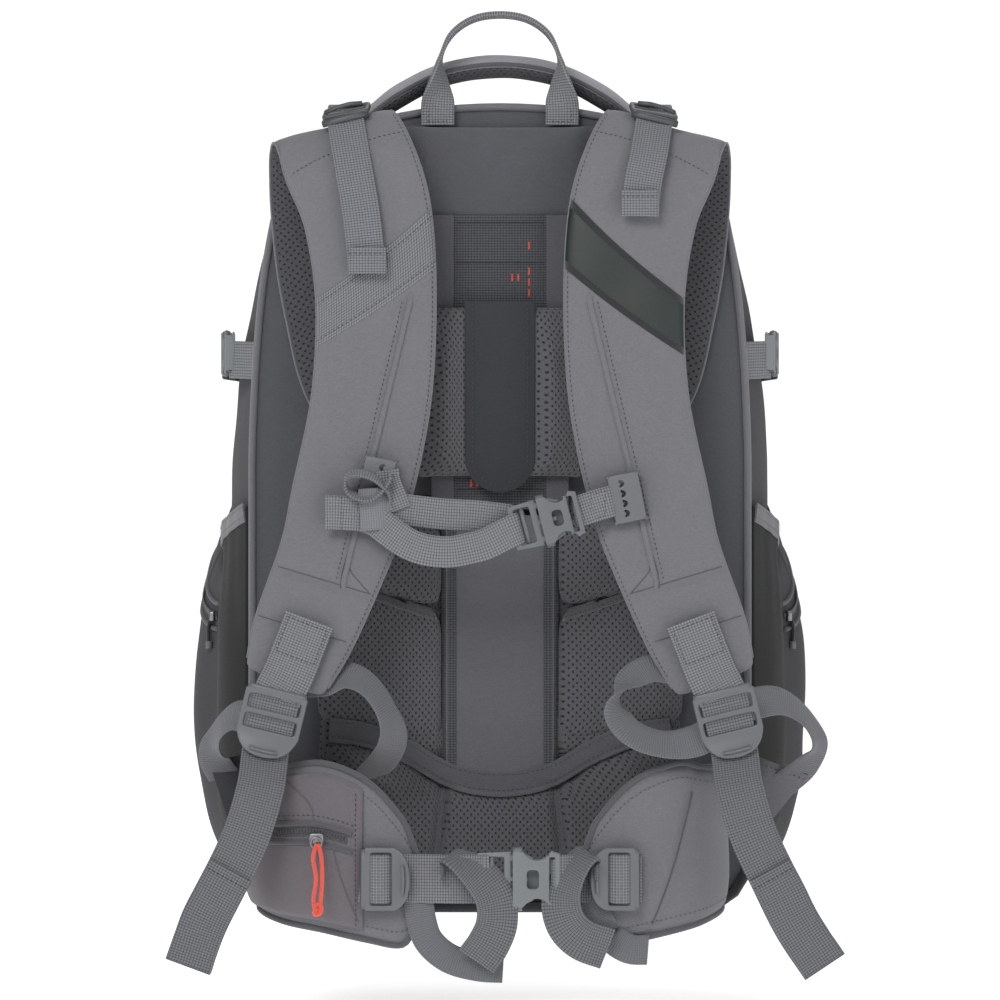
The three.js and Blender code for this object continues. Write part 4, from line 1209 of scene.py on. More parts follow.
def pad_trims(pads):
    """The bound seams and stitching that hold the pads down."""
    lines = []
    for name, side in SIDES:
        base = mesh_base(name, side)
        skin = Skin(pads[f"middle_pad_{name}"], pads[f"lower_pad_{name}"], base)
        edge = [(side * x * MM, z * MM) for x, z in ((40, 195.5), (60, 202), (85, 211), (116, 224))]
        band_on(f"pad_binding_{name}", skin, edge, 7 * MM, "bag", MATERIAL["binding"], 1.6 * MM, 0.6 * MM)
        lines.append([(p - Y * 2.2 * MM, n) for p, n in skin.line([(x, z - 1.5 * MM) for x, z in edge])])
    stitches("pad_stitching", lines, "bag")
    hem = Skin(pads["top_pad"])
    stitches("top_pad_stitching", [hem.line([(-0.062, z), (0.062, z)], lift=0.1 * MM)
                                   for z in (0.447, 0.4515)], "bag")
    lumbar = Skin(pads["lumbar_pad"])
    for side in (-1, 1):
        seam = [(side * 36 * MM, 0.095), (side * 39.5 * MM, 0.06), (side * 43 * MM, 0.018)]
        band_on(f"lumbar_seam_{side}", lumbar, seam, 4 * MM, "bag", MATERIAL["binding"], 1.2 * MM)
    band = [(-0.112, 0.122), (-0.088, 0.1185), (-0.062, 0.108), (-0.033, 0.092), (0.0, 0.0865),
            (0.033, 0.092), (0.062, 0.108), (0.088, 0.1185), (0.112, 0.122)]
    whole = Skin(pads["lumbar_pad"], *(pads[f"lower_pad_{n}"] for n, _ in SIDES))
    lifted = ArcBand(whole, 2.2 * MM)
    band_on("lumbar_band_cloth", lifted, band, 14 * MM, "bag", MATERIAL["binding"], 1.6 * MM,
            replaces=["lumbar_band"])
    lumbar_filler()
    lower = [(x, z - 7.6 * MM) for x, z in band]
    band_on("lumbar_band_piping", lifted, lower, 2.6 * MM, "bag", MATERIAL["binding"], 1.6 * MM)
    rows = []
    for shift in (5.2 * MM, -4.6 * MM):
        path = curve_points([Vector((x, 0, z + shift)) for x, z in band], 3 * MM)
        rows.append([(lifted.at(p.x, p.z)[0] - Y * 1.9 * MM, -Y) for p in path])
    stitches("lumbar_band_stitching", rows, "bag", MATERIAL["pale_thread"])


def lumbar_filler():
    """The mesh that runs behind the lumbar band and joins the pads above and below it."""
    columns, rows = 48, 18
    half, low, high = 113 * MM, 84 * MM, 136 * MM
    rings = []
    for i in range(columns + 1):
        x = lerp(-half, half, i / columns)
        ring = []
        for j in range(rows + 1):
            z = lerp(low, high, j / rows)
            rim = min(smooth(min(i, columns - i), 0, 4), smooth(min(j, rows - j), 0, 3))
            swell = lerp(4.5, 9.5, smooth(z, 98 * MM, 112 * MM)) * MM
            swell += wander(Vector((x, 0, z)), 0.03, 1.2 * MM, 4)
            swell -= 5 * MM * bump((abs(x) - 0.037) / MM, 5)
            ring.append(Vector((x, BACK_Y - 1 * MM - swell * rim, z)))
        rings.append([Vector((x, BACK_Y, low)), *ring, Vector((x, BACK_Y, high))])
    verts, faces, uvs = loft(rings)
    finish_piece(mesh_object("lumbar_filler", verts, faces, uvs, [MATERIAL["low_mesh"]]), "bag")


class ArcBand:
    """A skin evened out along the lumbar band, so that the band does not dip between the pads."""

    def __init__(self, skin, lift):
        self.skin, self.lift = skin, lift
        self.face = Box("lumbar_pad").low.y

    def at(self, x, z):
        hit, _ = self.skin.at(x, z)
        y = min(hit.y, self.face + 2.5 * MM) - self.lift
        return Vector((x, y, z)), -Y


def spine():
    """The fixed fabric strip between the pads, bound along both sides."""
    box = Box("spine_cover")
    face = box.low.y

    def height(a, z):
        crown = 1.4 * MM * (1 - (2 * a - 1) ** 2)
        return face - crown + wander(Vector((a * 0.08, 0, z)), 0.03, 0.7 * MM, 2)

    columns, rows = 20, 48
    rings = []
    for i in range(columns + 1):
        a = i / columns
        x = lerp(box.low.x, box.high.x, a)
        edge = min(a, 1 - a)
        drop = (box.high.y - face) * (1 - smooth(edge, 0, 0.05))
        foot = 90 * MM + 6 * MM * (x / (33 * MM)) ** 2
        heights = [lerp(foot, box.high.z, j / rows) for j in range(rows + 1)]
        front = [Vector((x, height(a, z) + drop, z)) for z in heights]
        rings.append([Vector((x, box.high.y, foot)), *front, Vector((x, box.high.y, box.high.z))])
    verts, faces, uvs = loft(rings, uv_of=lambda i, j: (i * 4 * MM, j * 3.3 * MM))
    cover = mesh_object("spine_cloth", verts, faces, uvs, [MATERIAL["cover"]], sharp=60)
    finish_piece(cover, "bag", ["spine_cover"])
    skin = Skin(cover)
    rows_of = []
    for name, side in SIDES:
        x = side * (box.high.x - 5.5 * MM)
        line = [(x, box.low.z - 4 * MM), (x, box.high.z - 1 * MM)]
        band_on(f"spine_binding_{name}", skin, line, 9.5 * MM, "bag", MATERIAL["dark_webbing"], 1.0 * MM)
        for shift in (-3.6, 3.6):
            beside = [(x + shift * MM, z) for _, z in line]
            rows_of.append([(p - Y * 1.1 * MM, n) for p, n in skin.line(beside)])
    stitches("spine_stitching", rows_of, "bag", MATERIAL["pale_thread"])


def size_ladder():
    """The webbing that the tongue hooks on: fine-ribbed, bound at its sides, crossed by sewn rungs."""
    box = Box("size_ladder")
    top, low = box.high.z + 4 * MM, box.low.z
    webbing("ladder_webbing", [Vector((0, box.centre.y, top)), Vector((0, box.centre.y, low))], X,
            box.size.x - 14 * MM,
            "bag", 1.4 * MM, 3 * MM, MATERIAL["dark_webbing"], replaces=["size_ladder"])
    for name, side in SIDES:
        x = side * (box.high.x - 1.5 * MM)
        webbing(f"ladder_binding_{name}", [Vector((x, box.centre.y, top)), Vector((x, box.centre.y, low))],
                X, 15 * MM,
                "bag", 2.4 * MM, 3 * MM, MATERIAL["binding"])
    rungs = [z * MM for z in (279, 297, 428, 454)]
    rows = []
    for z in rungs:
        cord(f"ladder_rung_{round(z / MM)}",
             [Vector((x * MM, box.low.y - 0.25 * MM, z)) for x in range(-29, 30, 2)],
             0.7 * MM, "bag", MATERIAL["black_tape"], flat=0.6, up=Y)
        rows.append([(Vector((x, box.low.y - 0.5 * MM, z - 3.2 * MM)), -Y) for x in (-0.029, 0.029)])
    stitches("ladder_stitching", rows, "bag", MATERIAL["pale_thread"])
    marks = [(19, 439), (8, 418), (12, 418), (19, 422), (19, 415), (19, 408), (-19, 283), (-15, 283),
             (-11, 283)]
    for k, (x, z) in enumerate(marks):
        webbing(f"size_mark_{k}", [Vector((x * MM, box.low.y - 0.15 * MM, (z + dz) * MM))
                                   for dz in (2.4, 0, -2.4)], X,
                1.2 * MM, "bag", 0.4 * MM, 1 * MM, MATERIAL["mark"])


def tongue():
    """The stiff tongue of the harness, with a rounded end and a row of stitching inside its edge."""
    box = Box("size_tongue")
    half = box.high.x / MM
    top, low = box.high.z / MM, box.low.z / MM
    outline = [(half, top), (-half, top)]
    outline += [(-half * math.cos(a), low + half - half * math.sin(a))
                for a in (math.pi * k / 20 for k in range(21))]

    def bend(co):
        share = (box.high.z - co.y) / box.size.z
        return Vector((co.x, co.y, co.z - 0.9 * MM * math.sin(math.pi * share)
                       - 10 * abs(co.x) ** 2 * 0.25))

    basis = facing(Vector((0, box.centre.y, 0)), -Y)
    moulding("tongue_cloth", [outline[::-1]], box.size.y, 0.9 * MM, basis, "tongue", MATERIAL["tongue"],
             ["size_tongue"], bend)
    inset = 5 / half
    row = []
    for x, z in [(half * (1 - inset), top - 2), *[(x * (1 - inset), lerp(z, low + half, inset))
                                                  for x, z in outline[2:]][::-1],
                 (-half * (1 - inset), top - 2)]:
        row.append((Vector((x * MM, box.low.y - 0.7 * MM, z * MM)), -Y))
    stitches("tongue_stitching", [row], "tongue", MATERIAL["pale_thread"])


# ---------------------------------------------------------------- shoulder straps

# Middle line of the right strap: x, distance in front of the back panel, z and width, in millimetres.
STRAP_LINE = [
    (60, 7, 318, 88), (68, 8, 334, 96), (82, 8, 364, 102), (94, 8, 402, 96), (101, 8, 434, 93),
    (106, 9, 474, 90),
    (109, 13, 498, 84), (108, 28, 512, 79), (99, 45, 494, 84), (86, 52, 458, 82), (80, 57, 402, 77),
    (83, 63, 336, 76), (96, 70, 272, 75), (107, 75, 234, 69), (126, 81, 186, 64), (138, 85, 155, 52),
]
STRAP_RISE, STRAP_SOLE = 5.0 * MM, 4.0 * MM
STRAP_SEAMS = (185 * MM, 220 * MM)


class Strap:
    """The padded shoulder strap of one side, as a surface: share of its length, and -0.5 to 0.5 across it."""

    def __init__(self, side):
        self.side = side
        self.line = [at(x, out, z) for x, out, z, _ in STRAP_LINE]
        self.widths = [Vector((w * MM, 0, 0)) for *_, w in STRAP_LINE]
        share = 1 / (len(self.line) - 1)
        self.wides = []
        for i in range(len(self.line)):
            t = i * share
            run = catmull(self.line, min(t + share, 1)) - catmull(self.line, max(t - share, 0))
            across = Vector((-run.z, 0, run.x)).normalized()
            self.wides.append(X.lerp(across, smooth(t, 0.55, 0.7)).normalized())

    def frame(self, t):
        p, wide = catmull(self.line, t), catmull(self.wides, t)
        wide = wide - Z * 0.34 * bump(t - 0.5, 0.17)
        ahead = (catmull(self.line, min(t + 2e-3, 1)) - catmull(self.line, max(t - 2e-3, 0))).normalized()
        wide = (wide - ahead * wide.dot(ahead)).normalized()
        return p, wide, ahead.cross(wide).normalized(), catmull(self.widths, t).x

    def station(self, x, z):
        """The share and the place across the front run that lie at a world x and z."""
        t, height = self.share_at(z), z
        for _ in range(6):
            p, wide, _, width = self.frame(t)
            a = (x * self.side - p.x) / (wide.x * width)
            height += z - (p + wide * width * a).z
            t = self.share_at(height)
        return t, max(-0.49, min(0.49, a))

    def turn(self, v):
        return Vector((v.x * self.side, v.y, v.z))

    def point(self, t, a, lift=0.0, sole=False):
        """A point on the outer face, or on the mesh sole."""
        p, wide, normal, width = self.frame(t)
        edge = max(0.0, 1 - abs(2 * a) ** 3.4) ** 0.55
        place = p + wide * width * a
        # foam swells between the cross seams
        seams = [(place.z - z - 0.3 * (place.x - 0.11)) / MM for z in STRAP_SEAMS]
        groove = sum(bump(d, 5.5) for d in seams) if t > 0.7 else 0
        pucker = 0
        if t > 0.7:
            pucker = sum(bump(d, 13) for d in seams) * math.sin(a * 40 + 3 * a * self.side) * 0.7 * MM
        rise = (STRAP_SOLE if sole else STRAP_RISE) * edge * (1 - 0.6 * min(groove, 1))
        soft = (wander(self.turn(place), 0.035, 1.3 * MM, 3) + pucker) * edge
        out = -rise - lift if sole else rise + lift + soft
        return self.turn(place + normal * out), self.turn(normal) * (-1 if sole else 1)

    def share_at(self, z):
        """The share along the front run at height z."""
        low, high = 0.55, 1.0
        for _ in range(30):
            middle = (low + high) / 2
            low, high = (middle, high) if catmull(self.line, middle).z > z else (low, middle)
        return low


def shoulder_strap(name, side):
    strap = Strap(side)
    columns = 18
    shares = even_shares(strap.line, 3.5 * MM)
    across = [-0.5 * math.cos(math.pi * k / columns) for k in range(columns + 1)]
    rings = []
    for t in shares:
        outer = [strap.point(t, a)[0] for a in across]
        sole = [strap.point(t, a, sole=True)[0] for a in across[-2:0:-1]]
        ring = outer + sole
        rings.append(ring if side > 0 else ring[::-1])
    total = 2 * columns
    # the two ends close with a rounded lip
    for index in (0, len(rings) - 1):
        ring = rings[index]
        middle = sum(ring, Vector()) / total
        rings[index] = [p.lerp(middle, 0.12) for p in ring]

    def place(j):
        return (j if side > 0 else total - 1 - j) % total

    def uv_of(i, j):
        k = place(j)
        a = across[k] if k <= columns else across[2 * columns - k]
        return (i * 3.5 * MM, (a + 0.5) * 88 * MM)

    verts, faces, uvs = loft(rings, uv_of=uv_of)
    slots = [1 if place(j if side > 0 else j + 1) >= columns else 0
             for _ in range(len(rings) - 1) for j in range(total)] + [0, 0]
    obj = mesh_object(f"shoulder_strap_{name}_foam", verts, faces, uvs,
                      [MATERIAL["shell"], MATERIAL["strap_mesh"]], slots)
    subdivide(obj, 1)
    finish_piece(obj, "harness", [f"shoulder_strap_{name}"])
    strap.skin = Skin(obj)
    strap_trims(name, strap)
    return strap


def strap_path(strap, stations, lift=0.0, count=160):
    """Points and normals on a strap through (share, across) stations."""
    rows = [Vector((t, a, 0)) for t, a in stations]
    return [strap.point(*(catmull(rows, k / count))[:2], lift) for k in range(count + 1)]


def strap_trims(name, strap):
    """Edge piping, sewn creases, the piping rail with its stitching, and the pleat at its foot."""
    for a in (-0.5, 0.5):
        line = strap_path(strap, [(lerp(0.02, 0.985, k / 12), a) for k in range(13)], -0.2 * MM)
        cord(f"strap_binding_{name}_{'in' if a < 0 else 'out'}", [p for p, _ in line], 0.8 * MM, "harness",
             MATERIAL["shell"])
    side = strap.side
    rail = Box(f"chest_rail_{name}")
    inner = rail.low.x if side > 0 else rail.high.x
    outer = rail.high.x if side > 0 else rail.low.x
    run = [(lerp(inner, outer, k / 30), lerp(rail.high.z - 4 * MM, rail.low.z + 6 * MM, k / 30))
           for k in range(31)]
    lie = [strap.point(*strap.station(x, z), 0.5 * MM) for x, z in run]
    under = strap.point(*strap.station(run[0][0], run[0][1] + 8 * MM), -2 * MM)[0]
    foot = strap.point(*strap.station(run[-1][0], run[-1][1] - 6 * MM), -2.5 * MM)[0]
    cord(f"rail_piping_{name}", curve_points([under, *[p for p, _ in lie], foot], 3 * MM), 1.7 * MM,
         "harness",
         MATERIAL["shell"], sides=12, replaces=[f"chest_rail_{name}"])
    beside = [strap.point(*strap.station(x + side * 5 * MM, z), 0.25 * MM) for x, z in run]
    row = strap_path(strap, [(0.53, -0.44), (0.525, 0.0), (0.53, 0.44)], 0.25 * MM, count=60)
    inside = strap_path(strap, [(lerp(0.5, 0.97, k / 10), -0.475) for k in range(11)], 0.25 * MM)
    stitches(f"strap_stitching_{name}", [beside, row, inside], "harness")
    for k, z in enumerate(STRAP_SEAMS):
        ends = [strap.point(strap.share_at(z), a)[0].x for a in (-0.47, 0.47)]
        reach = [(x, z + 0.3 * (abs(x) - 110 * MM)) for x in ends]
        crease(f"strap_crease_{name}_{k}", strap, reach)
    x, z = run[-1]
    for k, pleat in enumerate((((-2, 16), (-5, 6), (-17, -8)), ((-2, 16), (1, 6), (2, -4)))):
        crease(f"strap_pleat_{name}_{k}", strap, [(x + side * dx * MM, z + dz * MM) for dx, dz in pleat])


def crease(name, strap, places):
    """A sewn line that lies in the front of a strap, through places given as (x, z)."""
    line = [p for p, _ in strap.skin.line(places, lift=0.1 * MM)]
    cord(name, line, 0.5 * MM, "harness", MATERIAL["binding"], sides=6)


def strap_band(name, strap, z_in, z_out, width, material, tape=None):
    """A band sewn across the front of a strap, from its inner edge at z_in to its outer edge at z_out."""
    columns, across = 36, 8
    lift, half = 0.9 * MM, 0.53
    rings, edges = [], [[], []]
    for i in range(columns + 1):
        f = i / columns
        a = lerp(-half, half, f)
        z = lerp(z_in, z_out, f)
        top, low = [], []
        for k in range(across + 1):
            t = strap.share_at(z + width * (0.5 - k / across))
            hem = 1 - abs(2 * k / across - 1) ** 6
            reach = max(-0.5, min(0.5, a))
            past = abs(a) - abs(reach)
            p, n = strap.point(t, reach, lift * (0.4 + 0.6 * hem) - past * 90 * MM)
            top.append(p)
            low.append(p - n * (lift + 0.8 * MM))
        rings.append(top + low[::-1])
        edges[0].append((top[1], strap.point(strap.share_at(z), max(-0.5, min(0.5, a)))[1]))
        edges[1].append((top[-2], edges[0][-1][1]))
    if strap.side < 0:
        rings = [r[::-1] for r in rings]
    total = 2 * (across + 1)

    def uv_of(i, j):
        k = j % total
        k = k if k <= across else total - 1 - k
        return (i * 2.4 * MM, k * width / across)

    verts, faces, uvs = loft(rings, uv_of=uv_of)
    slots = None
    materials = [material]
    if tape:
        materials.append(tape)
        slots = []
        for i in range(columns):
            for j in range(total):
                k = j if j <= across else total - 1 - j
                k = k if strap.side > 0 else across - k
                slots.append(1 if min(k, across - 1 - k) < 1 else 0)
        slots += [0, 0]
    obj = mesh_object(name, verts, faces, uvs, materials, slots, sharp=60)
    finish_piece(obj, "harness")
    stitches(name + "_stitching", edges, "harness", MATERIAL["pale_thread"], lift=0.3 * MM)


# ---------------------------------------------------------------- webbing of the harness

def side_points(rows, side):
    return [at(x * side, out, z) for x, out, z in rows]


def side_wides(rows, side):
    return [Vector((x * side, y, z)) for x, y, z in rows]


def load_lifters():
    """Straps from the top of the bag, through the lift buckles, hanging over the shoulder straps."""
    tails = {"left": [(101, 30, 526), (100.5, 38, 520), (99, 45, 512), (95, 56, 490), (89, 64, 455),
                      (85, 67, 418)],
             "right": [(101, 30, 526), (100.5, 38, 520), (99, 45, 512), (96, 57, 495), (92, 62, 476),
                       (90, 64, 455)]}
    for name, side in SIDES:
        box = Box(f"lift_buckle_{name}")
        x = abs(box.centre.x) / MM
        anchor = side_points([(x + 2, 2, 519), (x + 1, 10, 527), (x, 20, 530), (x, 30, 526)], side)
        webbing(f"lifter_anchor_{name}", anchor, X, 25 * MM, blend=("bag", "harness", anchor[0],
                                                                    anchor[-1]),
                material=MATERIAL["pale_webbing"])
        line = side_points(tails[name], side)
        webbing(f"lifter_tail_{name}", line,
                side_wides([(1, 0, -0.2), (1, 0, -0.2), (1, 0, -0.1),
                            (1, 0, 0.1), (1, 0, 0.14), (1, 0, 0.1)], side),
                24 * MM, "harness", material=MATERIAL["pale_webbing"], thick=1.5 * MM)
        fold = line[-1]
        hem = [fold + Z * 16 * MM - Y * 1.5 * MM, fold + Z * 6 * MM - Y * 2.4 * MM,
               fold - Z * 0.5 * MM - Y * 1.6 * MM]
        webbing(f"lifter_hem_{name}", hem, Vector((side, 0, 0.1)), 24 * MM, "harness",
                material=MATERIAL["pale_webbing"])
        row = [(p - Y * 1.3 * MM, -Y) for p in (fold + Z * 12 * MM - X * 11 * MM - Y * 2 * MM,
                                               fold + Z * 12 * MM + X * 11 * MM - Y * 2 * MM)]
        stitches(f"lifter_stitching_{name}", [row], "harness", MATERIAL["pale_thread"])
        foot = side_points([(x - 2, 4, 520), (x - 1, 12, 516), (x, 22, 517), (x, 31, 522)], side)
        webbing(f"lifter_foot_{name}", foot, X, 25 * MM, "harness", material=MATERIAL["pale_webbing"])


def lower_webbing():
    """The straps between the foot of the bag and the shoulder straps: wings, slack loops and hanging ends."""
    outer = {
        "right": [(184, 30, 86), (197, 40, 98), (206, 50, 114), (197, 60, 132), (180, 70, 143),
                  (162, 80, 142), (146, 88, 138)],
        "left": [(180, 30, 92), (185, 42, 103), (185, 54, 114), (180, 64, 126), (170, 74, 134),
                 (159, 82, 133), (146, 88, 134)],
    }
    outer_wides = [(0.8, 0.3, -0.5), (0.75, 0.5, -0.4), (0.5, 0.85, 0), (0.2, 0.85, 0.45), (0.05, 0.6, 0.8),
                   (0, 0.35, 0.93),
                   (-0.1, 0.2, 0.97)]
    inner = {
        "right": [(126, 74, 160), (110, 76, 163), (95, 80, 164), (80, 86, 155), (74, 93, 138),
                  (84, 97, 124), (104, 96, 117),
                  (124, 94, 119), (140, 93, 128)],
        "left": [(128, 74, 156), (112, 76, 156), (97, 80, 160), (82, 84, 152), (71, 84, 134), (69, 74, 117),
                 (77, 56, 102),
                 (88, 36, 93), (98, 16, 88)],
    }
    inner_wides = {
        "right": [(0.3, 0.6, 0.72)] * 7 + [(0.1, 0.3, 0.95), (0, 0.1, 1)],
        "left": [(0, 0.3, 0.95), (0, 0.4, 0.9), (-0.2, 0.6, 0.75), (-0.4, 0.75, 0.5), (-0.6, 0.75, 0.1),
                 (-0.75, 0.6, -0.2),
                 (-0.7, 0.6, -0.4), (-0.5, 0.8, -0.2), (-0.4, 0.9, 0)],
    }
    for name, side in SIDES:
        line = side_points(outer[name], side)
        webbing(f"slack_outer_{name}", line, side_wides(outer_wides, side), 21 * MM, thick=1.6 * MM,
                blend=("bag", "harness", line[1], line[-1]), material=MATERIAL["loop_webbing"])
        line = side_points(inner[name], side)
        blend = ("harness", "bag", line[2], line[-2]) if side < 0 else None
        webbing(f"slack_inner_{name}", line, side_wides(inner_wides[name], side), 21 * MM,
                None if blend else "harness",
                thick=1.6 * MM, blend=blend, material=MATERIAL["loop_webbing"])
        anchor_wing(name, side)
        strap_end(name, side)


def anchor_wing(name, side):
    """A doubled tab of fabric that holds the slack webbing to the foot of the bag, the left one in the darker
    wall fabric as painted shade.
    """
    tip = {"left": (189, 34, 101), "right": (200, 38, 93)}[name]
    low, high = [], []
    for k in range(9):
        t = k / 8
        root = 24 * (1 - smooth(t, 0, 0.4))
        low.append(at(lerp(150, 177, t) * side, lerp(28, 30, t) - root, lerp(52, 63, t)))
        high.append(at(lerp(154, tip[0], t) * side, lerp(30, tip[1], t) - root, lerp(110, tip[2], t)))
    rings = []
    for a, b in zip(low, high):
        face = [a.lerp(b, j / 8) - Y * 0.9 * MM + Y * wander(a.lerp(b, j / 8), 0.03, 1.8 * MM, 2)
                for j in range(9)]
        ring = face + [p + Y * 2.2 * MM for p in face[::-1]]
        rings.append(ring if side < 0 else ring[::-1])
    verts, faces, uvs = loft(rings, uv_of=lambda i, j: (i * 4 * MM, j * 5 * MM))
    # painted shade: the left wing takes the darker wall fabric for the shadow it lies in, the right one the
    # shell fabric
    obj = mesh_object(f"anchor_wing_{name}", verts, faces, uvs, [MATERIAL["shell" if side > 0 else "wall"]],
                      sharp=60)
    finish_piece(obj, "bag")
    rows = [[(low[k].lerp(high[k], f) - Y * 1.8 * MM, -Y) for k in range(9)] for f in (0.08, 0.92)]
    stitches(f"anchor_stitching_{name}", rows, "bag")


def strap_end(name, side):
    """The webbing sewn to the foot of a shoulder strap, and the free end that hangs from its lock."""
    body = "harness"
    patch = side_points([(121, 90.5, 196), (127, 92, 180), (134, 94.5, 162), (140, 97.5, 150),
                         (141.5, 99.5, 147)], side)
    across = Vector((0.95 * side, 0, 0.3))
    webbing(f"sewn_end_{name}", patch, across, 32 * MM, body, 2 * MM)
    down = (patch[2] - patch[0]).normalized()
    wide = (across - down * across.dot(down)).normalized()
    origin = patch[0] - Y * 1.6 * MM
    corners = [origin + down * 3 * MM + wide * 13 * MM, origin + down * 3 * MM - wide * 13 * MM,
               origin + down * 26 * MM - wide * 13 * MM, origin + down * 26 * MM + wide * 13 * MM]
    stitches(f"box_stitching_{name}", [[(p, -Y) for p in corners + corners[:1]]], body)
    end_x = {"left": 196, "right": 204}[name]
    tail = side_points([(141, 95.5, 149), (142, 101.4, 144), (143, 101, 140), (144, 96.8, 135.8),
                        (145, 101.4, 131.5),
                        (146, 101, 127.5), (147, 95, 123), (149, 98, 110), (151, 114, 90), (159, 123, 62),
                        (171, 125, 36), (186, 124, 6), (end_x, 122, -21)], side)
    twist = [(0.97, 0, 0.24)] * 8 + [(0.95, 0, 0.3), (0.93, 0.05, 0.33), (0.9, 0.1, 0.38),
                                     (0.88, 0.1, 0.42), (0.86, 0.0, 0.45)]
    webbing(f"strap_tail_webbing_{name}", tail, side_wides(twist, side), 30 * MM, body, 1.6 * MM, 1.2 * MM,
            MATERIAL["tail_webbing"], replaces=[f"strap_tail_{name}"])
    hem = side_points([(169, 127, 40), (177.5, 126.8, 24), (186.5, 126.2, 6), (end_x - 1, 124.2, -20)],
                      side)
    lean = Vector((0.88 * side, 0.06, 0.42))
    webbing(f"tail_hem_{name}", hem, lean, 29.6 * MM, body, 1.5 * MM, material=MATERIAL["tail_webbing"])
    down = (hem[1] - hem[0]).normalized()
    wide = (lean - down * lean.dot(down)).normalized()
    middle = hem[0].lerp(hem[1], 0.3) - Y * 1.1 * MM
    stitches(f"tail_stitching_{name}", [[(middle - wide * 13.5 * MM, -Y), (middle + wide * 13.5 * MM, -Y)]],
             body)


def handles():
    """The webbing hang loop and the padded grip over the top of the bag."""
    foot_y = 5
    rows = [(-41, foot_y, 519), (-41, foot_y + 1.5, 530), (-40, 8, 548), (-39, 8, 563), (-32, 8, 578),
            (-18, 8, 588),
            (0, 8, 591), (18, 8, 588), (32, 8, 578), (39, 8, 563), (40, 8, 548), (41, foot_y + 1.5, 530),
            (41, foot_y, 519)]
    points = [at(*row) for row in rows]
    wides = [(1, 0, 0), (1, 0, 0), (0.5, 0.85, 0), (0, 1, 0), (0, 1, 0), (0, 1, 0), (0, 1, 0),
             (0, 1, 0), (0, 1, 0), (0, 1, 0), (-0.5, 0.85, 0), (-1, 0, 0), (-1, 0, 0)]
    webbing("hang_loop_webbing", points, [Vector(w) for w in wides], 22 * MM, step=2 * MM, thick=2.6 * MM,
            blend=("bag", "grab_loop", at(0, 8, 524), at(0, 8, 540)), replaces=["grab_loop"])
    feet = [[(at(x + dx, foot_y + 2.2, z), -Y)
             for dx, z in ((-6, 521), (6, 521), (6, 530), (-6, 530), (-6, 521))]
            for x in (-41, 41)]
    stitches("hang_loop_stitching", feet, "bag", MATERIAL["pale_thread"])
    box = Box("top_handle")
    middle_y = box.centre.y
    line = [Vector((x * MM, middle_y, z * MM)) for x, z in
            ((-92, 522), (-66, 541), (-36, 555), (0, 560), (36, 555), (66, 541), (92, 522))]
    frames = frames_along(line, [Y] * len(line), 3 * MM)
    rings = []
    for i, (p, wide, normal, _) in enumerate(frames):
        taper = 0.8 + 0.2 * smooth(min(i, len(frames) - 1 - i), 0, 12)
        soft = 1 + wander(p, 0.02, 0.05, 4)
        rings.append([p + wide * math.cos(a) * 13.5 * MM * taper
                      + normal * math.sin(a) * 7.6 * MM * taper * soft
                      for a in (2 * math.pi * k / 24 for k in range(24))])
    verts, faces, uvs = loft(rings, uv_of=lambda i, j: (i * 3 * MM, j * 2.6 * MM))
    slots = [1 if rings[i][j].z < frames[i][0].z - 0.5 * MM else 0 for i in range(len(rings) - 1)
             for j in range(24)]
    obj = mesh_object("top_handle_padding", verts, faces, uvs, [MATERIAL["handle"], MATERIAL["strap_mesh"]],
                      slots + [0, 0])
    finish_piece(obj, "bag", ["top_handle"])
    for sign, tag in ((-1, "back"), (1, "front")):
        edge = [p + wide * sign * 13.4 * MM for p, wide, *_ in frames[2:-2]]
        cord(f"top_handle_piping_{tag}", edge, 1.5 * MM, "bag", MATERIAL["binding"])


# ---------------------------------------------------------------- buckles and locks

def d_tab(half, top, tab):
    """The outline of a ladder lock in millimetres, its fixed bar along the top."""
    def curve(a, b, c, t):
        return (a[0] * (1 - t) ** 2 + 2 * b[0] * t * (1 - t) + c[0] * t * t,
                a[1] * (1 - t) ** 2 + 2 * b[1] * t * (1 - t) + c[1] * t * t)

    shoulder = tab * 0.62
    points = [(half - 3, top), (3 - half, top), (-half, top - 3), (-half, shoulder)]
    points += [curve((-half, shoulder), (-half * 0.8, tab), (0, tab), k / 8) for k in range(1, 9)]
    points += [curve((0, tab), (half * 0.8, tab), (half, shoulder), k / 8) for k in range(1, 9)]
    return [*points, (half, top - 3)]


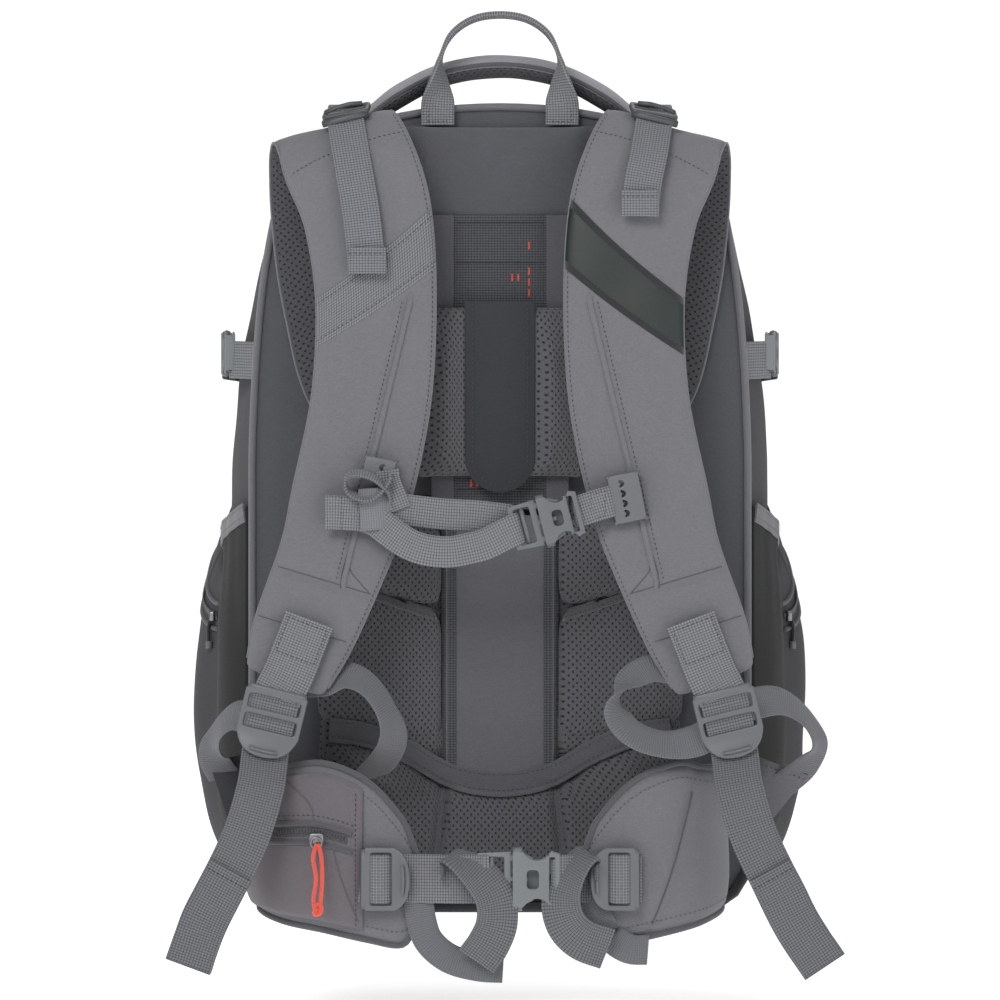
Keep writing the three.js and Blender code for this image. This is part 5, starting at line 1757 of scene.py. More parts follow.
def ladder_lock(name, node, body, origin, down, height, slot, barred=True):
    """A ladder lock: two webbing slots below a thick bar, and a thumb tab that curls forward.

    Where the webbing hides its middle bar, barred is False and the two slots are one window."""
    half, bar, rim = 20, 4, 3.4
    tab = bar - height
    deep = -bar * 1.5 - slot
    tops = ((-bar / 2, slot), (deep, slot)) if barred else ((-bar / 2, 2 * slot + bar),)
    holes = [rounded(rim - half, top - size, half - rim, top, 1.2) for top, size in tops]

    def bend(co):
        low = smooth(-co.y, (bar * 1.5 + 2 * slot) * MM, -tab * MM)
        side = 1 - (abs(co.x) / (half * MM)) ** 2
        return Vector((co.x, co.y, co.z + 3.4 * MM * low + 0.9 * MM * side * low))

    basis = facing(origin, -Y, -down)
    moulding(name, [d_tab(half, bar, tab)[::-1], *[h[::-1] for h in holes]], 4.2 * MM, 1.1 * MM, basis,
             body,
             MATERIAL["plastic"], replaces=[node], bend=bend)
    across = down.cross(Y).normalized()
    for k, at_bar in enumerate((-bar - slot, bar / 2)):
        if not (k or barred):
            continue
        middle = origin - down * at_bar * MM
        cord(f"{name}_bar_{k}", [middle + across * x * MM for x in (1.2 - half, -half / 2, 0, half / 2,
                                                                    half - 1.2)],
             (2.3 if k else 1.9) * MM, body, MATERIAL["plastic"], sides=12)
    grip = [origin - down * (tab + 4.2) * MM - Y * 6.6 * MM + across * x * MM
            + down * abs(x / half) ** 2 * -3 * MM
            for x in (-9, -6, -3, 0, 3, 6, 9)]
    cord(f"{name}_grip", grip, 1.1 * MM, body, MATERIAL["plastic"])


def locks():
    for name, side in SIDES:
        box = Box(f"shoulder_lock_{name}")
        lean = 0.24
        down = Vector((math.sin(lean) * side, 0, -math.cos(lean)))
        origin = Vector((side * 0.1415, box.centre.y, 0.148))
        ladder_lock(f"shoulder_ladder_lock_{name}", f"shoulder_lock_{name}", f"shoulder_lock_{name}",
                    origin, down, 44, 8.4)
        box = Box(f"hip_lock_{name}")
        bar_x = (box.high.x if side > 0 else box.low.x) - side * 4 * MM
        origin = Vector((bar_x, box.centre.y, box.centre.z))
        ladder_lock(f"hip_ladder_lock_{name}", f"hip_lock_{name}", f"hip_lock_{name}", origin,
                    Vector((-side, 0, 0)), 31, 4.6,
                    barred=False)


def lift_buckles():
    """Tension buckles, made as a plate with two slots and rolled bars."""
    for name, side in SIDES:
        node = f"lift_buckle_{name}"
        box = Box(node)
        up = Vector((side * -0.07, 0.93, 0.36)).normalized()
        out = Vector((side * 0.2, -0.36, 0.91)).normalized()
        basis = facing(box.centre, out, up)
        holes = [rounded(-12.5, a, 12.5, a + 3.6, 0.8)[::-1] for a in (1.3, -4.9)]
        moulding(f"{node}_frame", [rounded(-15.5, -9.5, 15.5, 9.5, 3)[::-1], *holes], 3.8 * MM, 1.1 * MM,
                 basis, "harness",
                 MATERIAL["dark_plastic"], replaces=[node])
        lip = side_points([(115, 39.5, 516), (108, 41.5, 517.5), (100, 42, 519.5), (92, 41.5, 521.5),
                           (86, 39.5, 523)], side)
        cord(f"{node}_lip", lip, 2.3 * MM, "harness", MATERIAL["dark_plastic"], sides=12)
        ridge = side_points([(114, 30, 524), (107, 29, 527.5), (98, 29, 530), (90, 30, 530.5)], side)
        cord(f"{node}_ridge", ridge, 1.8 * MM, "harness", MATERIAL["dark_plastic"], sides=12)


def socket_outline(length, height):
    """One side-release socket, waisted where the arms show, from its mouth at 0 to its bar at length."""
    half = height / 2
    pinch = 5.5

    def waist(sign):
        low = [(0, sign * half), (length * 0.22, sign * half)]
        low += [(lerp(length * 0.22, length * 0.82, k / 10),
                 sign * (half - pinch * math.sin(math.pi * k / 10) ** 0.8))
                for k in range(1, 11)]
        return [*low, (length, sign * (half - 1.5))]

    return [*waist(-1), *waist(1)[::-1]]


def side_release(name, place, size, bodies, nodes, material):
    """A side-release buckle: socket shell in two halves joined by its ends, and a plug with sprung arms."""
    length, height, thick, frame_length, reach = size
    half = height / 2
    wall = 1.5
    outline = socket_outline(length, height)
    slot_hole = rounded(length - 6.8, 3.2 - half, length - 3.2, half - 3.2, 1.2)
    eye = rounded(length * 0.3, -half * 0.34, length * 0.55, half * 0.34, 2.4)
    for tag, lift in (("face", -1), ("back", 1)):
        holes = [slot_hole, eye] if lift < 0 else [slot_hole]
        plate_at = place @ Matrix.Translation(Vector((0, 0, -lift * (thick / 2 - wall / 2) * MM)))
        moulding(f"{name}_socket_{tag}", [outline, *[h[::-1] for h in holes]], wall * MM, 0.6 * MM,
                 plate_at, bodies[0],
                 material, replaces=[nodes[0]] if lift < 0 else [])
    block = [(length - 9, 2.5 - half), (length, 2.5 - half), (length, half - 2.5), (length - 9, half - 2.5)]
    moulding(f"{name}_socket_end", [block, slot_hole[::-1]], (thick - 0.6) * MM, 0.9 * MM, place, bodies[0],
             material)
    for tag, sign in (("upper", 1), ("lower", -1)):
        rim = [place @ Vector((x * length * MM, sign * (half - 1.3) * MM, 0))
               for x in (0.01, 0.07, 0.14, 0.2)]
        cord(f"{name}_socket_rim_{tag}", rim, thick / 2 * 0.86 * MM, bodies[0], material)
    arm = half - 3.6
    plug = [(-frame_length, 1 - half), (-1, -half), (-1, -arm - 1.4), (reach * 0.5, -arm - 2.6),
            (reach, -arm + 0.4),
            (reach, -arm + 3.2), (reach * 0.5, -arm + 0.4), (-1, -arm + 2.6), (-1, -1.6),
            (reach * 0.75, -1.3),
            (reach * 0.75, 1.3), (-1, 1.6), (-1, arm - 2.6), (reach * 0.5, arm - 0.4), (reach, arm - 3.2),
            (reach, arm - 0.4), (reach * 0.5, arm + 2.6), (-1, arm + 1.4), (-1, half),
            (-frame_length, half - 1)]
    window = rounded(3.4 - frame_length, 3.4 - half, -5.4, half - 3.4, 1.2)
    moulding(f"{name}_plug_frame", [plug, window[::-1]], 3.0 * MM, 0.8 * MM, place, bodies[1], material,
             replaces=[nodes[1]])
    bar = [place @ Vector((-(frame_length - 8.6) * MM, z * MM, -1.0 * MM)) for z in (3 - half, 0, half - 3)]
    cord(f"{name}_plug_bar", bar, 1.6 * MM, bodies[1], material)


# ---------------------------------------------------------------- chest strap

def chest():
    lean = 0.25
    socket = Box("chest_buckle_socket")
    along = Vector((math.cos(lean), 0, math.sin(lean)))
    high = Vector((-math.sin(lean), 0, math.cos(lean)))
    place = Matrix((along, high, along.cross(high))).transposed().to_4x4()
    place.translation = Vector((0.026, socket.centre.y, 0.258))
    side_release("chest_buckle", place, (26, 30, 8, 19, 14), ("chest_strap", "chest_plug"),
                 ("chest_buckle_socket", "chest_buckle_plug"), MATERIAL["plastic"])
    for name, side in SIDES:
        chest_clip(name, side)
    chest_webbing()


def chest_clip(name, side):
    """A plate with four crescent windows whose hooked corners run on the strap's rail."""
    node = f"chest_clip_{name}"
    box = Box(node)
    rail = Box(f"chest_rail_{name}")
    lean = (rail.size.x - 4 * MM) / rail.size.z * side
    up = Vector((-lean, 0, 1)).normalized()
    centre = box.centre - Y * 2.2 * MM
    basis = facing(centre, -Y, up)
    crescents = []
    for z in (9.6, 3.2, -3.2, -9.6):
        arc = [(-3.4 + 3.4 * math.cos(a), z + 2.4 * math.sin(a))
               for a in (math.radians(-80 + 160 * k / 8) for k in range(9))]
        back = [(-3.4 + 1.2 * math.cos(a), z + 1.2 * math.sin(a))
                for a in (math.radians(80 - 160 * k / 6) for k in range(7))]
        crescents.append([(side * x, y) for x, y in arc + back])
    outline = rounded(-10, -15.5, 10, 15.5, 3)
    if side > 0:
        crescents = [loop[::-1] for loop in crescents]
    moulding(f"{node}_plate", [outline, *crescents], 3.0 * MM, 0.7 * MM, basis, node, MATERIAL["plastic"],
             replaces=[node])
    for k, (x, z) in enumerate(((-8.6, 14), (8.6, 14), (-8.6, -14), (8.6, -14))):
        hook = [basis @ Vector((x * MM, z * MM, 0)), basis @ Vector((x * 1.16 * MM, z * 1.07 * MM,
                                                                     -1.6 * MM)),
                basis @ Vector((x * 1.06 * MM, z * 1.02 * MM, -4.2 * MM)),
                basis @ Vector((x * 0.7 * MM, z * MM, -5.0 * MM))]
        cord(f"{node}_hook_{k}", curve_points(hook, 1 * MM), 1.5 * MM, node, MATERIAL["plastic"])


def chest_webbing():
    """The narrow strap between the two rails: its loops, its slack and its elastic keeper."""
    width = 20 * MM
    right = [at(72.5, 80.5, 271.5), at(70.5, 84.4, 271), at(63, 85.3, 269), at(51, 86.5, 265),
             at(47.5, 84.5, 264), at(50, 81, 265)]
    webbing("chest_strap_right", right, Vector((-0.2, 0, 1)), width,
            blend=("chest_strap", "chest_clip_right", right[3], right[0]))
    cross = [[(at(58, 86.6, 260), -Y), (at(58, 86.6, 276), -Y), (at(67, 86, 278), -Y),
              (at(67, 86, 262), -Y), (at(58, 86.6, 260), -Y)]]
    stitches("chest_stitching_right", cross, "chest_strap", MATERIAL["pale_thread"])
    front = [at(14, 83, 254.5), at(11.8, 88.8, 254), at(5, 90.9, 251), at(-8, 91.5, 244.5),
             at(-18, 91.5, 241.5), at(-32, 91.5, 239),
             at(-46, 91.2, 240), at(-58, 90.5, 244), at(-69, 89, 251), at(-80, 87.2, 259),
             at(-92, 85.5, 263)]
    lean = [Vector((x, 0, 1)) for x in (-0.3, -0.28, -0.25, -0.2, -0.14, 0, 0.12, 0.28, 0.34, 0.2, 0.05)]
    cut = 0.27
    webbing("chest_slack_plug", front, lean, width, replaces=["chest_webbing"], part=(0, cut),
            blend=("chest_plug", "chest_strap", front[1], front[3]))
    webbing("chest_slack", front, lean, width, part=(cut, 1),
            blend=("chest_strap", "chest_clip_left", front[5], front[8]))
    rear = [at(13, 82.5, 257.5), at(4, 82, 259.5), at(-8, 83, 261), at(-18, 83.5, 262), at(-36, 84, 263),
            at(-54, 84, 265),
            at(-70, 83.5, 267), at(-84, 82.5, 269)]
    cut = 0.24
    webbing("chest_run_plug", rear, Vector((-0.1, 0, 1)), width, part=(0, cut),
            blend=("chest_plug", "chest_strap", rear[0], rear[2]))
    webbing("chest_run", rear, Vector((-0.1, 0, 1)), width, part=(cut, 1),
            blend=("chest_strap", "chest_clip_left", rear[4], rear[6]))
    keeper = [at(-70, 86, 267), at(-76, 89.4, 266.5), at(-83, 90, 266), at(-89, 88.6, 265.5)]
    webbing("chest_keeper", keeper, Z, 27 * MM, "chest_clip_left", 1.8 * MM,
            material=MATERIAL["fine_webbing"])
    end = [at(-86, 86, 263), at(-96, 87.6, 263.5), at(-104, 87.8, 264), at(-111, 87, 264)]
    webbing("chest_tail", end, Vector((0.06, 0, 1)), 22 * MM, "chest_clip_left", 2.2 * MM)
    stitches("chest_tail_stitching", [[(at(-101, 89.4, 254), -Y), (at(-101, 89.4, 274), -Y)]],
             "chest_clip_left",
             MATERIAL["pale_thread"])
    bow = [at(-69, 88, 271), at(-72, 88.5, 279), at(-82, 89.5, 287), at(-93, 90, 289), at(-98, 90.5, 285),
           at(-96, 90.5, 277),
           at(-86, 90, 273), at(-78, 89.5, 276), at(-71, 88, 284), at(-70, 86, 290)]
    webbing("chest_bow_left", bow, Vector((0, 0.93, 0.36)), 13 * MM, "chest_clip_left", 1.4 * MM, 1.5 * MM)
    drop = [at(-72, 82.5, 291), at(-71, 84.5, 284), at(-67, 86, 274), at(-64, 86, 266)]
    webbing("chest_drop_left", drop, Vector((1, 0, 0.1)), 15 * MM, "chest_clip_left", 1.5 * MM)


# ---------------------------------------------------------------- hip belt

# Right fin of the hip belt, in millimetres: x, distance in front of the back panel, lower edge, upper edge.
FIN_LINE = [(104, 11, 30, 92), (114, 14, 26, 94), (127, 20, 22, 96), (148, 32, 16, 98), (155, 55, 9, 99),
            (139, 77, 3, 101), (112, 85, -2, 104), (84, 88, -8, 92), (62, 89, -11, 68), (47, 89, 0, 44)]
FIN_RISE, FIN_SOLE = 5.2 * MM, 4.4 * MM
FIN_TUCK = {-1: 0, 1: 12}


class Fin:
    """The padded hip fin of one side, as a surface: share of its length, and 0 to 1 up its height."""

    def __init__(self, side):
        self.side = side
        self.plan = [at(x - FIN_TUCK[side] * smooth(x, 118, 150), out, 0) for x, out, *_ in FIN_LINE]
        self.edges = [Vector((low * MM, high * MM, 0)) for *_, low, high in FIN_LINE]

    def station(self, x, z):
        """The share of the length and of the height that lie at x and z on the front run."""
        low, high = 0.5, 0.95
        for _ in range(30):
            middle = (low + high) / 2
            low, high = (middle, high) if catmull(self.plan, middle).x > x else (low, middle)
        edge = catmull(self.edges, low)
        return low, (z - edge.x) / (edge.y - edge.x)

    def point(self, t, v, lift=0.0, sole=False):
        p, edge = catmull(self.plan, t), catmull(self.edges, t)
        ahead = (catmull(self.plan, min(t + 2e-3, 1)) - catmull(self.plan, max(t - 2e-3, 0))).normalized()
        out = Vector((-ahead.y, ahead.x, 0))
        place = Vector((p.x, p.y, lerp(edge.x, edge.y, v)))
        rim = max(0.0, 1 - abs(2 * v - 1) ** 3.6) ** 0.6
        rim *= max(0.0, 1 - max(0.0, (t - 0.93) / 0.07) ** 3) ** 0.6
        world = Vector((place.x * self.side, place.y, place.z))
        soft = wander(world, 0.04, 1.4 * MM, 6) * rim
        dart = bump((place.x - dart_x(place.z)) / MM, 5) * smooth(t, 0.5, 0.56) if self.side > 0 else 0
        rise = -FIN_SOLE * rim - lift if sole else FIN_RISE * rim * (1 - 0.5 * dart) + lift + soft
        place += out * rise
        sign = -1 if sole else 1
        return Vector((place.x * self.side, place.y, place.z)), Vector((out.x * self.side, out.y, 0)) * sign


def dart_x(z):
    """Where the curved dart of the right fin lies at height z."""
    rise = z / MM - 30
    return (107 + 0.33 * rise - 0.0013 * rise * rise) * MM


def tip_round(v, t):
    """Narrows the fin towards its tip so that its end is rounded."""
    share = smooth(t, 0.9, 1.0)
    return 0.5 + (v - 0.5) * (1 - 0.35 * share)


def hip_fin(name, side):
    fin = Fin(side)
    columns, rows = 110, 18
    rings = []
    for i in range(columns + 1):
        t = i / columns
        outer = [fin.point(t, tip_round(k / rows, t))[0] for k in range(rows + 1)]
        sole = [fin.point(t, tip_round(1 - k / rows, t), sole=True)[0] for k in range(1, rows)]
        ring = outer + sole
        rings.append(ring[::-1] if side > 0 else ring)
    total = 2 * rows
    verts, faces, uvs = loft(rings, uv_of=lambda i, j: (i * 2.3 * MM, (j % total) * 5 * MM))
    slots = []
    for _ in range(columns):
        for j in range(total):
            k = (total - 2 - j) % total if side > 0 else j
            slots.append(1 if rows < k < total - 1 else 0)
    obj = mesh_object(f"hip_fin_{name}_foam", verts, faces, uvs, [MATERIAL["shell"],
                                                                  MATERIAL["strap_mesh"]], slots + [0, 0])
    body = f"hip_{name}"
    bend = ("bag", body, (side * 0.110, BACK_Y - 0.010, 0.05), (side * 0.134, BACK_Y - 0.024, 0.05))
    finish_piece(obj, None, [f"hip_fin_{name}"], bend)
    edge = [fin.point(k / 60 * 0.985, tip_round(1.0, k / 60))[0] for k in range(61)]
    edge += [fin.point(0.99, tip_round(1 - k / 8, 0.99))[0] for k in range(1, 8)]
    edge += [fin.point(0.985 - k / 60 * 0.985, tip_round(0.0, 1 - k / 60))[0] for k in range(61)]
    cord(f"hip_fin_binding_{name}", edge, 2.2 * MM, None, MATERIAL["binding"], sides=10, blend=bend)
    stitches(f"hip_fin_stitching_{name}", [fin_stitch_line(fin)], body, MATERIAL["pale_thread"])
    if side > 0:
        dart = [fin.point(*fin.station(dart_x(z), z), 0.4 * MM)[0]
                for z in (lerp(0.086, 0.002, k / 30) for k in range(31))]
        cord("hip_fin_dart", dart, 0.45 * MM, body, MATERIAL["binding"], sides=6)
    return fin


def fin_stitch_line(fin):
    """Out along the fin's upper edge, round its tip and back along the lower edge, 9 mm inside it."""
    inset, first, last, count = 9 * MM, 0.42, 0.965, 50

    def inside(t, upper):
        edge = catmull(fin.edges, t)
        share = inset / (edge.y - edge.x)
        return fin.point(t, tip_round(1 - share if upper else share, t), 0.4 * MM)

    line = [inside(lerp(first, last, k / (count - 1)), True) for k in range(count)]
    line += [fin.point(0.97, lerp(0.78, 0.22, k / 8), 0.4 * MM) for k in range(9)]
    return line + [inside(lerp(last, first, k / (count - 1)), False) for k in range(count)]


def hip_pocket(fin):
    """A bellows pocket on the left fin with a bound zip across it."""
    columns, rows = 44, 30
    first, last = 0.40, 0.765

    def point(u, v, lift=0.0):
        t, high = lerp(first, last, u), lerp(0.06, 0.94, v)
        swell = (math.sin(math.pi * lerp(0.015, 0.985, u)) * math.sin(math.pi * lerp(0.04, 0.96, v))) ** 0.5
        p, n = fin.point(t, high)
        crease = wander(p, 0.025, 1.3 * MM, 2) * swell - 1.2 * MM * bump((v - 0.62) / 0.05)
        return p + n * (1.5 * MM + 9.5 * MM * swell + crease + lift), n

    rings = [[point(i / columns, j / rows)[0] for j in range(rows + 1)]
             + [fin.point(lerp(first, last, i / columns), lerp(0.06, 0.94, j / rows), 0.2 * MM)[0]
                for j in range(rows, -1, -1)]
             for i in range(columns + 1)]
    verts, faces, uvs = loft(rings, uv_of=lambda i, j: (i * 2.4 * MM, j * 3.2 * MM))
    obj = mesh_object("hip_pocket_shell", verts, faces, uvs, [MATERIAL["pocket"]], sharp=70)
    finish_piece(obj, "hip_left", ["hip_pocket"])
    line = [point(lerp(0.06, 0.9, k / 40), 0.60, 0.6 * MM) for k in range(41)]
    zip_coil("hip_pocket_zip", [p for p, _ in line], "hip_left", normals=[n for _, n in line])
    for tag, v in (("upper", 0.665), ("lower", 0.535)):
        edge = [point(lerp(0.04, 0.93, k / 40), v, 0.4 * MM)[0] for k in range(41)]
        cord(f"hip_pocket_lip_{tag}", edge, 1.8 * MM, "hip_left", MATERIAL["binding"], sides=10)
    outline = [[point(u, lerp(0.03, 0.97, k / 20), 0.4 * MM) for k in range(21)] for u in (0.035, 0.955)]
    outline.append([point(lerp(0.04, 0.95, k / 30), 0.72, 0.4 * MM) for k in range(31)])
    stitches("hip_pocket_stitching", outline, "hip_left")
    for k, seam in enumerate((((0.5, 0.97), (0.66, 0.8), (0.7, 0.66)),
                              ((0.82, 0.5), (0.88, 0.28), (0.97, 0.05)))):
        rows = [Vector((u, v, 0)) for u, v in seam]
        line = [point(*catmull(rows, k / 24).xy, 0.25 * MM)[0] for k in range(25)]
        cord(f"hip_pocket_seam_{k}", line, 0.4 * MM, "hip_left", MATERIAL["binding"], sides=6)


def hip_pull():
    """The slider of the hip pocket's zip, with a bright doubled cord."""
    slider = Box("hip_zip_slider")
    moulding("hip_slider_body", [rounded(-4.6, -3.4, 4.6, 3.4, 1.6)], 3.2 * MM, 0.8 * MM,
             facing(slider.centre, -Y),
             "hip_zip", MATERIAL["zip_metal"], ["hip_zip_slider"])
    ring = [slider.centre + Vector((3.4 * MM * math.cos(a), -2.8 * MM, -2.5 * MM + 3.4 * MM * math.sin(a)))
            for a in (2 * math.pi * k / 16 for k in range(16))]
    cord("hip_slider_ring", ring, 0.8 * MM, "hip_zip", MATERIAL["zip_metal"], closed=True, up=Y)
    pull = Box("hip_zip_pull")
    top, low, middle = pull.high.z, pull.low.z, pull.centre
    for k, sign in enumerate((-1, 1)):
        path = [Vector((middle.x + sign * 0.6 * MM, pull.high.y, top)),
                Vector((middle.x + sign * 2.6 * MM, pull.low.y, lerp(top, low, 0.2))),
                Vector((middle.x + sign * 1.9 * MM + 1.2 * MM, pull.low.y, lerp(top, low, 0.5))),
                Vector((middle.x + sign * 2.3 * MM, pull.low.y, lerp(top, low, 0.8))),
                Vector((middle.x + sign * 1.3 * MM, pull.low.y, low))]
        cord(f"hip_pull_cord_{k}", curve_points(path, 1.5 * MM), 1.35 * MM, "hip_pull", MATERIAL["orange"],
             sides=10, replaces=["hip_zip_pull"] if k else ())
    knot = [Vector((middle.x + dx * MM, pull.low.y - 0.6 * MM, low + dz * MM))
            for dx, dz in ((-2, 4), (2, 5), (2, 0), (-2, -1), (0, 3))]
    cord("hip_pull_knot", curve_points(knot, 1 * MM), 1.5 * MM, "hip_pull", MATERIAL["orange"],
         sides=10)


def hip_belt():
    for name, side in SIDES:
        fin = hip_fin(name, side)
        if side < 0:
            hip_pocket(fin)
        body = f"hip_{name}"
        sewn = side_points([(90, 95.5, 32), (86, 96.8, 32), (82, 101.2, 32), (79.5, 102.6, 32),
                            (75.5, 102.9, 32)], side)
        webbing(f"hip_sewn_end_{name}", sewn, Z, 31 * MM, body, 1.6 * MM, 1.2 * MM)
    socket = Box("hip_buckle_socket")
    belt = {"left": [(-76.5, 102.9, 32), (-73, 102.5, 32), (-70, 100.4, 32), (-67, 97.6, 32),
                     (-57, 97.6, 32), (-46, 99.5, 32), (-30, 101.5, 32),
                     (-16, 101.5, 32), (-9, 103.4, 32), (-7.5, 101.5, 32), (-10, 99, 32)],
            "right": [(76.5, 102.9, 32), (73, 102.5, 32), (70, 100.4, 32), (67, 97.6, 32), (57, 97.6, 32),
                      (48, 99.5, 32), (40, 103.6, 32),
                      (34.6, 104, 32), (33, 101, 32), (35, 98, 32)]}
    for name, side in SIDES:
        webbing(f"hip_belt_webbing_{name}", [at(*row) for row in belt[name]], Z, 31 * MM, f"hip_{name}",
                1.8 * MM)
    place = Matrix((X, Z, X.cross(Z))).transposed().to_4x4()
    place.translation = Vector((socket.low.x, socket.centre.y, socket.centre.z))
    side_release("hip_buckle", place, (30, 35, 9.5, 22, 13), ("hip_right", "hip_left"),
                 ("hip_buckle_socket", "hip_buckle_plug"), MATERIAL["pale_plastic"])
    hip_tails()
    hip_pull()


def hip_tails():
    """Free ends of the belt webbing, in front of and behind the buckle."""
    front = {"left": [(-36, 97, 36), (-32, 101, 46), (-25, 105, 44), (-12, 107, 34), (-3, 108, 20),
                      (-2, 107.5, 5),
                      (-7, 106, -8), (-15, 104, -20)],
             "right": [(60, 97, 36), (57, 101, 47), (51, 105, 45), (42, 107, 32), (38.5, 107.5, 18),
                       (42, 107, 4),
                       (52, 106, -6), (68, 104, -12)]}
    wides = {"left": [(0, 1, 0), (0.2, 0.95, 0.1), (0.3, 0.85, 0.4), (0.5, 0.55, 0.65), (0.8, 0.35, 0.4),
                      (0.97, 0.2, 0),
                      (0.9, 0.1, -0.4), (0.8, 0, -0.58)],
             "right": [(0, 1, 0), (-0.2, 0.95, 0.1), (-0.3, 0.85, 0.4), (-0.6, 0.6, 0.4), (-0.9, 0.4, 0),
                       (-0.75, 0.25, -0.55),
                       (-0.45, 0.15, -0.85), (-0.25, 0.1, -0.95)]}
    rear = {"left": [(-52, 97.5, 22), (-50, 96.5, 6), (-45, 96, -8), (-32, 95.5, -19), (-14, 95.5, -24),
                     (2, 96, -25)],
            "right": [(94, 92, -14), (82, 94, -13), (71, 95.5, -6), (62, 96.5, 6), (56, 97.5, 18)]}
    twist = {"left": [(0.9, 0, 0.2), (0.9, 0, 0.25), (0.75, 0, 0.65), (0.4, 0, 0.9), (0.15, 0, 1),
                      (0.1, 0, 1)],
             "right": [(0, 0, 1), (-0.1, 0, 1), (-0.5, 0, 0.85), (-0.9, 0, 0.4), (-1, 0, 0.1)]}
    for name, _ in SIDES:
        webbing(f"hip_tail_webbing_{name}", [at(*row) for row in front[name]],
                [Vector(w) for w in wides[name]], 27 * MM,
                f"hip_{name}", 1.8 * MM, 1.5 * MM, MATERIAL["tail_webbing"], replaces=[f"hip_tail_{name}"])
        webbing(f"hip_rear_webbing_{name}", [at(*row) for row in rear[name]],
                [Vector(w) for w in twist[name]], 19 * MM,
                f"hip_{name}", 1.6 * MM, material=MATERIAL["loop_webbing"])


# ---------------------------------------------------------------- sides and front

def side_straps():
    """Compression straps across the sides, with a small buckle near the back seam."""
    for name, side in SIDES:
        socket, plug = Box(f"side_buckle_socket_{name}"), Box(f"side_buckle_plug_{name}")
        mouth_y = plug.low.y + 12 * MM
        z = socket.centre.z
        turn = math.atan2(plug.centre.x * side - socket.centre.x * side, plug.centre.y - socket.centre.y)
        along = Vector((-side * math.sin(turn), -math.cos(turn), 0))
        high = Z if side < 0 else -Z
        place = Matrix((along, high, along.cross(high))).transposed().to_4x4()
        place.translation = Vector((side * 0.1835, mouth_y, z))
        side_release(f"side_buckle_{name}", place, (22, 28, 7, 14, 11), ("bag", f"side_plug_{name}"),
                     (f"side_buckle_socket_{name}", f"side_buckle_plug_{name}"), MATERIAL["pale_plastic"])
        index = min(range(len(OUTLINE)), key=lambda i: abs(OUTLINE[i].z - z) + (OUTLINE[i].x * side < 0))

        def wall_x(y, lift):
            v = (y - BACK_Y) / DEPTH
            return wall_point(index, max(0.0, min(1.0, v)), lift)

        rear = [wall_x(y * MM, lift * MM)
                for y, lift in ((-73, 1.5), (-68, 4), (-62, 8.5), (-57, 12), (-54.5, 13.4))]
        webbing(f"side_strap_rear_{name}", rear, Z, 25 * MM, "bag")
        front = [wall_x(y * MM, lift * MM)
                 for y, lift in ((-25, 13), (-20, 11.5), (-12, 8.5), (0, 5), (18, 3), (36, 2.6), (54, 2.8),
                                 (70, 2.6))]
        webbing(f"side_strap_front_{name}", front, Z, 25 * MM, replaces=[f"side_strap_{name}"],
                blend=("bag", f"side_plug_{name}", front[4], front[0]))


def front_zip(skin):
    """The zip across the front panel, given as a Skin, with its slider at the left end."""
    slider = Box("front_zip_slider")
    z = slider.centre.z
    line = []
    for k in range(81):
        x = lerp(-0.105, 0.105, k / 80)
        hit, normal, *_ = skin.tree.ray_cast(Vector((x, 1, z)), -Y)
        line.append((hit + normal * 0.4 * MM, normal))
    zip_coil("front_zip", [p for p, _ in line], "bag", normals=[n for _, n in line])
    for tag, dz in (("upper", 6.5), ("lower", -6.5)):
        edge = []
        for k in range(81):
            hit, normal, *_ = skin.tree.ray_cast(Vector((lerp(-0.110, 0.110, k / 80), 1, z + dz * MM)), -Y)
            edge.append(hit + normal * 0.6 * MM)
        cord(f"front_zip_lip_{tag}", edge, 2.0 * MM, "bag", MATERIAL["binding"], up=Z)
    puller("front_zip_puller", Vector((slider.centre.x, slider.high.y + 12 * MM, z)), Y, "front_zip")


# ---------------------------------------------------------------- studio

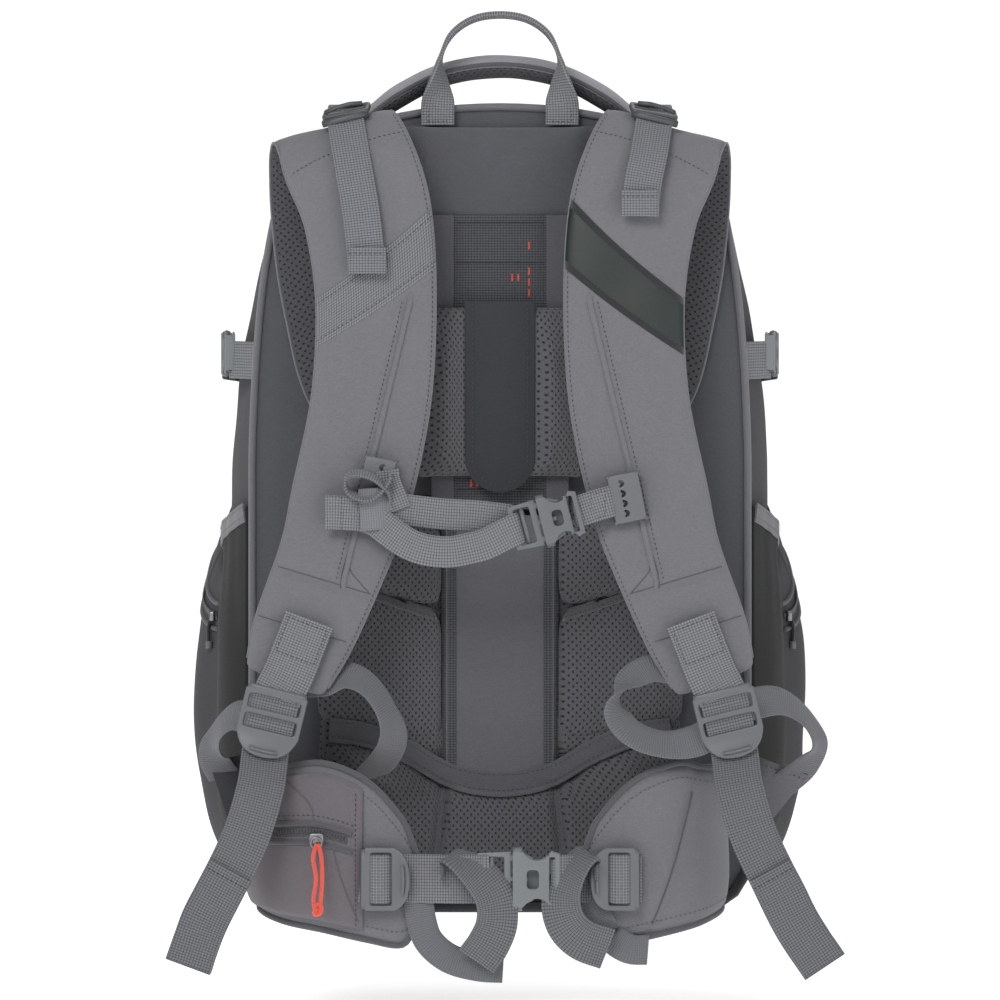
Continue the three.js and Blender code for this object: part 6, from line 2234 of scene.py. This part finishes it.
def studio():
    """A wide pale floor, soft lights, a sky that looks white to the camera, and the camera."""
    low = min(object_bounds()[0][2], cad_bounds[0][2]) - 28 * MM
    paper = Graph("studio_paper", (0.9, 0.9, 0.9))
    paper.surface((0.9, 0.9, 0.9, 1), 0.9, Emission_Color=(1, 1, 1, 1), Emission_Strength=0.68)
    corners = [Vector((x, y, low)) for x, y in ((-9, -9), (9, -9), (9, 9), (-9, 9))]
    mesh_object("studio_floor", corners, [(0, 1, 2, 3)], None, [paper.material])
    world = bpy.data.worlds.new("studio_world")
    bpy.context.scene.world = world
    world.use_nodes = True
    sky = world.node_tree.nodes["Background"]
    sky.inputs[0].default_value = (1, 1, 1, 1)
    seen = world.node_tree.nodes.new("ShaderNodeLightPath").outputs["Is Camera Ray"]
    brightness = world.node_tree.nodes.new("ShaderNodeMapRange")
    brightness.inputs["To Min"].default_value, brightness.inputs["To Max"].default_value = 0.4, 1.1
    world.node_tree.links.new(seen, brightness.inputs["Value"])
    world.node_tree.links.new(brightness.outputs[0], sky.inputs[1])
    for name, place, size, power in (("key", (-0.9, -2.6, 2.0), 1.3, 53),
                                     ("fill", (1.9, -2.1, 0.9), 1.8, 14),
                                     ("rim", (0.3, 1.4, 2.3), 1.4, 9)):
        light = bpy.data.lights.new(name, "AREA")
        light.size, light.energy = size, power
        lamp = bpy.data.objects.new(name, light)
        lamp.location = place
        lamp.rotation_euler = (Vector((0, 0, 0.28)) - Vector(place)).to_track_quat("-Z", "Y").to_euler()
        bpy.context.scene.collection.objects.link(lamp)
    camera = bpy.data.cameras.new("camera")
    camera.sensor_width, camera.lens = 36, 136.4
    eye = bpy.data.objects.new("camera", camera)
    eye.location = (0, BACK_Y - 2.5, 0.272)
    eye.rotation_euler = (math.pi / 2, 0, 0)
    bpy.context.scene.collection.objects.link(eye)
    bpy.context.scene.camera = eye
    bpy.context.scene.view_settings.view_transform = "Standard"


CAD_FINISH = {"front_zip_slider": "zip_metal", "main_zip_slider_left": "zip_metal",
              "main_zip_slider_right": "zip_metal",
              "frame_sheet": "sheet", "frame_stay": "alloy", "yoke": "sheet"}


def dress_cad():
    """Gives the CAD pieces that no mesh replaces their own finish."""
    for node, finish in CAD_FINISH.items():
        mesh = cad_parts[node].data
        if not mesh.materials:
            mesh.materials.append(None)
        for k in range(len(mesh.materials)):
            mesh.materials[k] = MATERIAL[finish]


def build():
    walls()
    filled("back_panel_cloth", BACK_Y + 0.6 * MM, -1, back_height, MATERIAL["panel"], "back_panel")
    front = filled("front_panel_cloth", FRONT_Y - 0.8 * MM, 1, front_height, MATERIAL["wall"],
                   "front_panel")
    piping()
    main_zip()
    base_boot()
    front_pocket()
    side_pockets()
    side_straps()
    front_zip(Skin(front))
    pads = back_pads()
    pad_trims(pads)
    spine()
    size_ladder()
    tongue()
    for name, side in SIDES:
        strap = shoulder_strap(name, side)
        if side < 0:
            strap_band("cross_band_left", strap, 0.437, 0.384, 34 * MM, MATERIAL["webbing"])
        else:
            strap_band("cross_band_right", strap, 0.440, 0.381, 40 * MM, MATERIAL["reflective"],
                       tape=MATERIAL["black_tape"])
    load_lifters()
    lower_webbing()
    handles()
    locks()
    lift_buckles()
    chest()
    hip_belt()
    dress_cad()
    studio()


build()
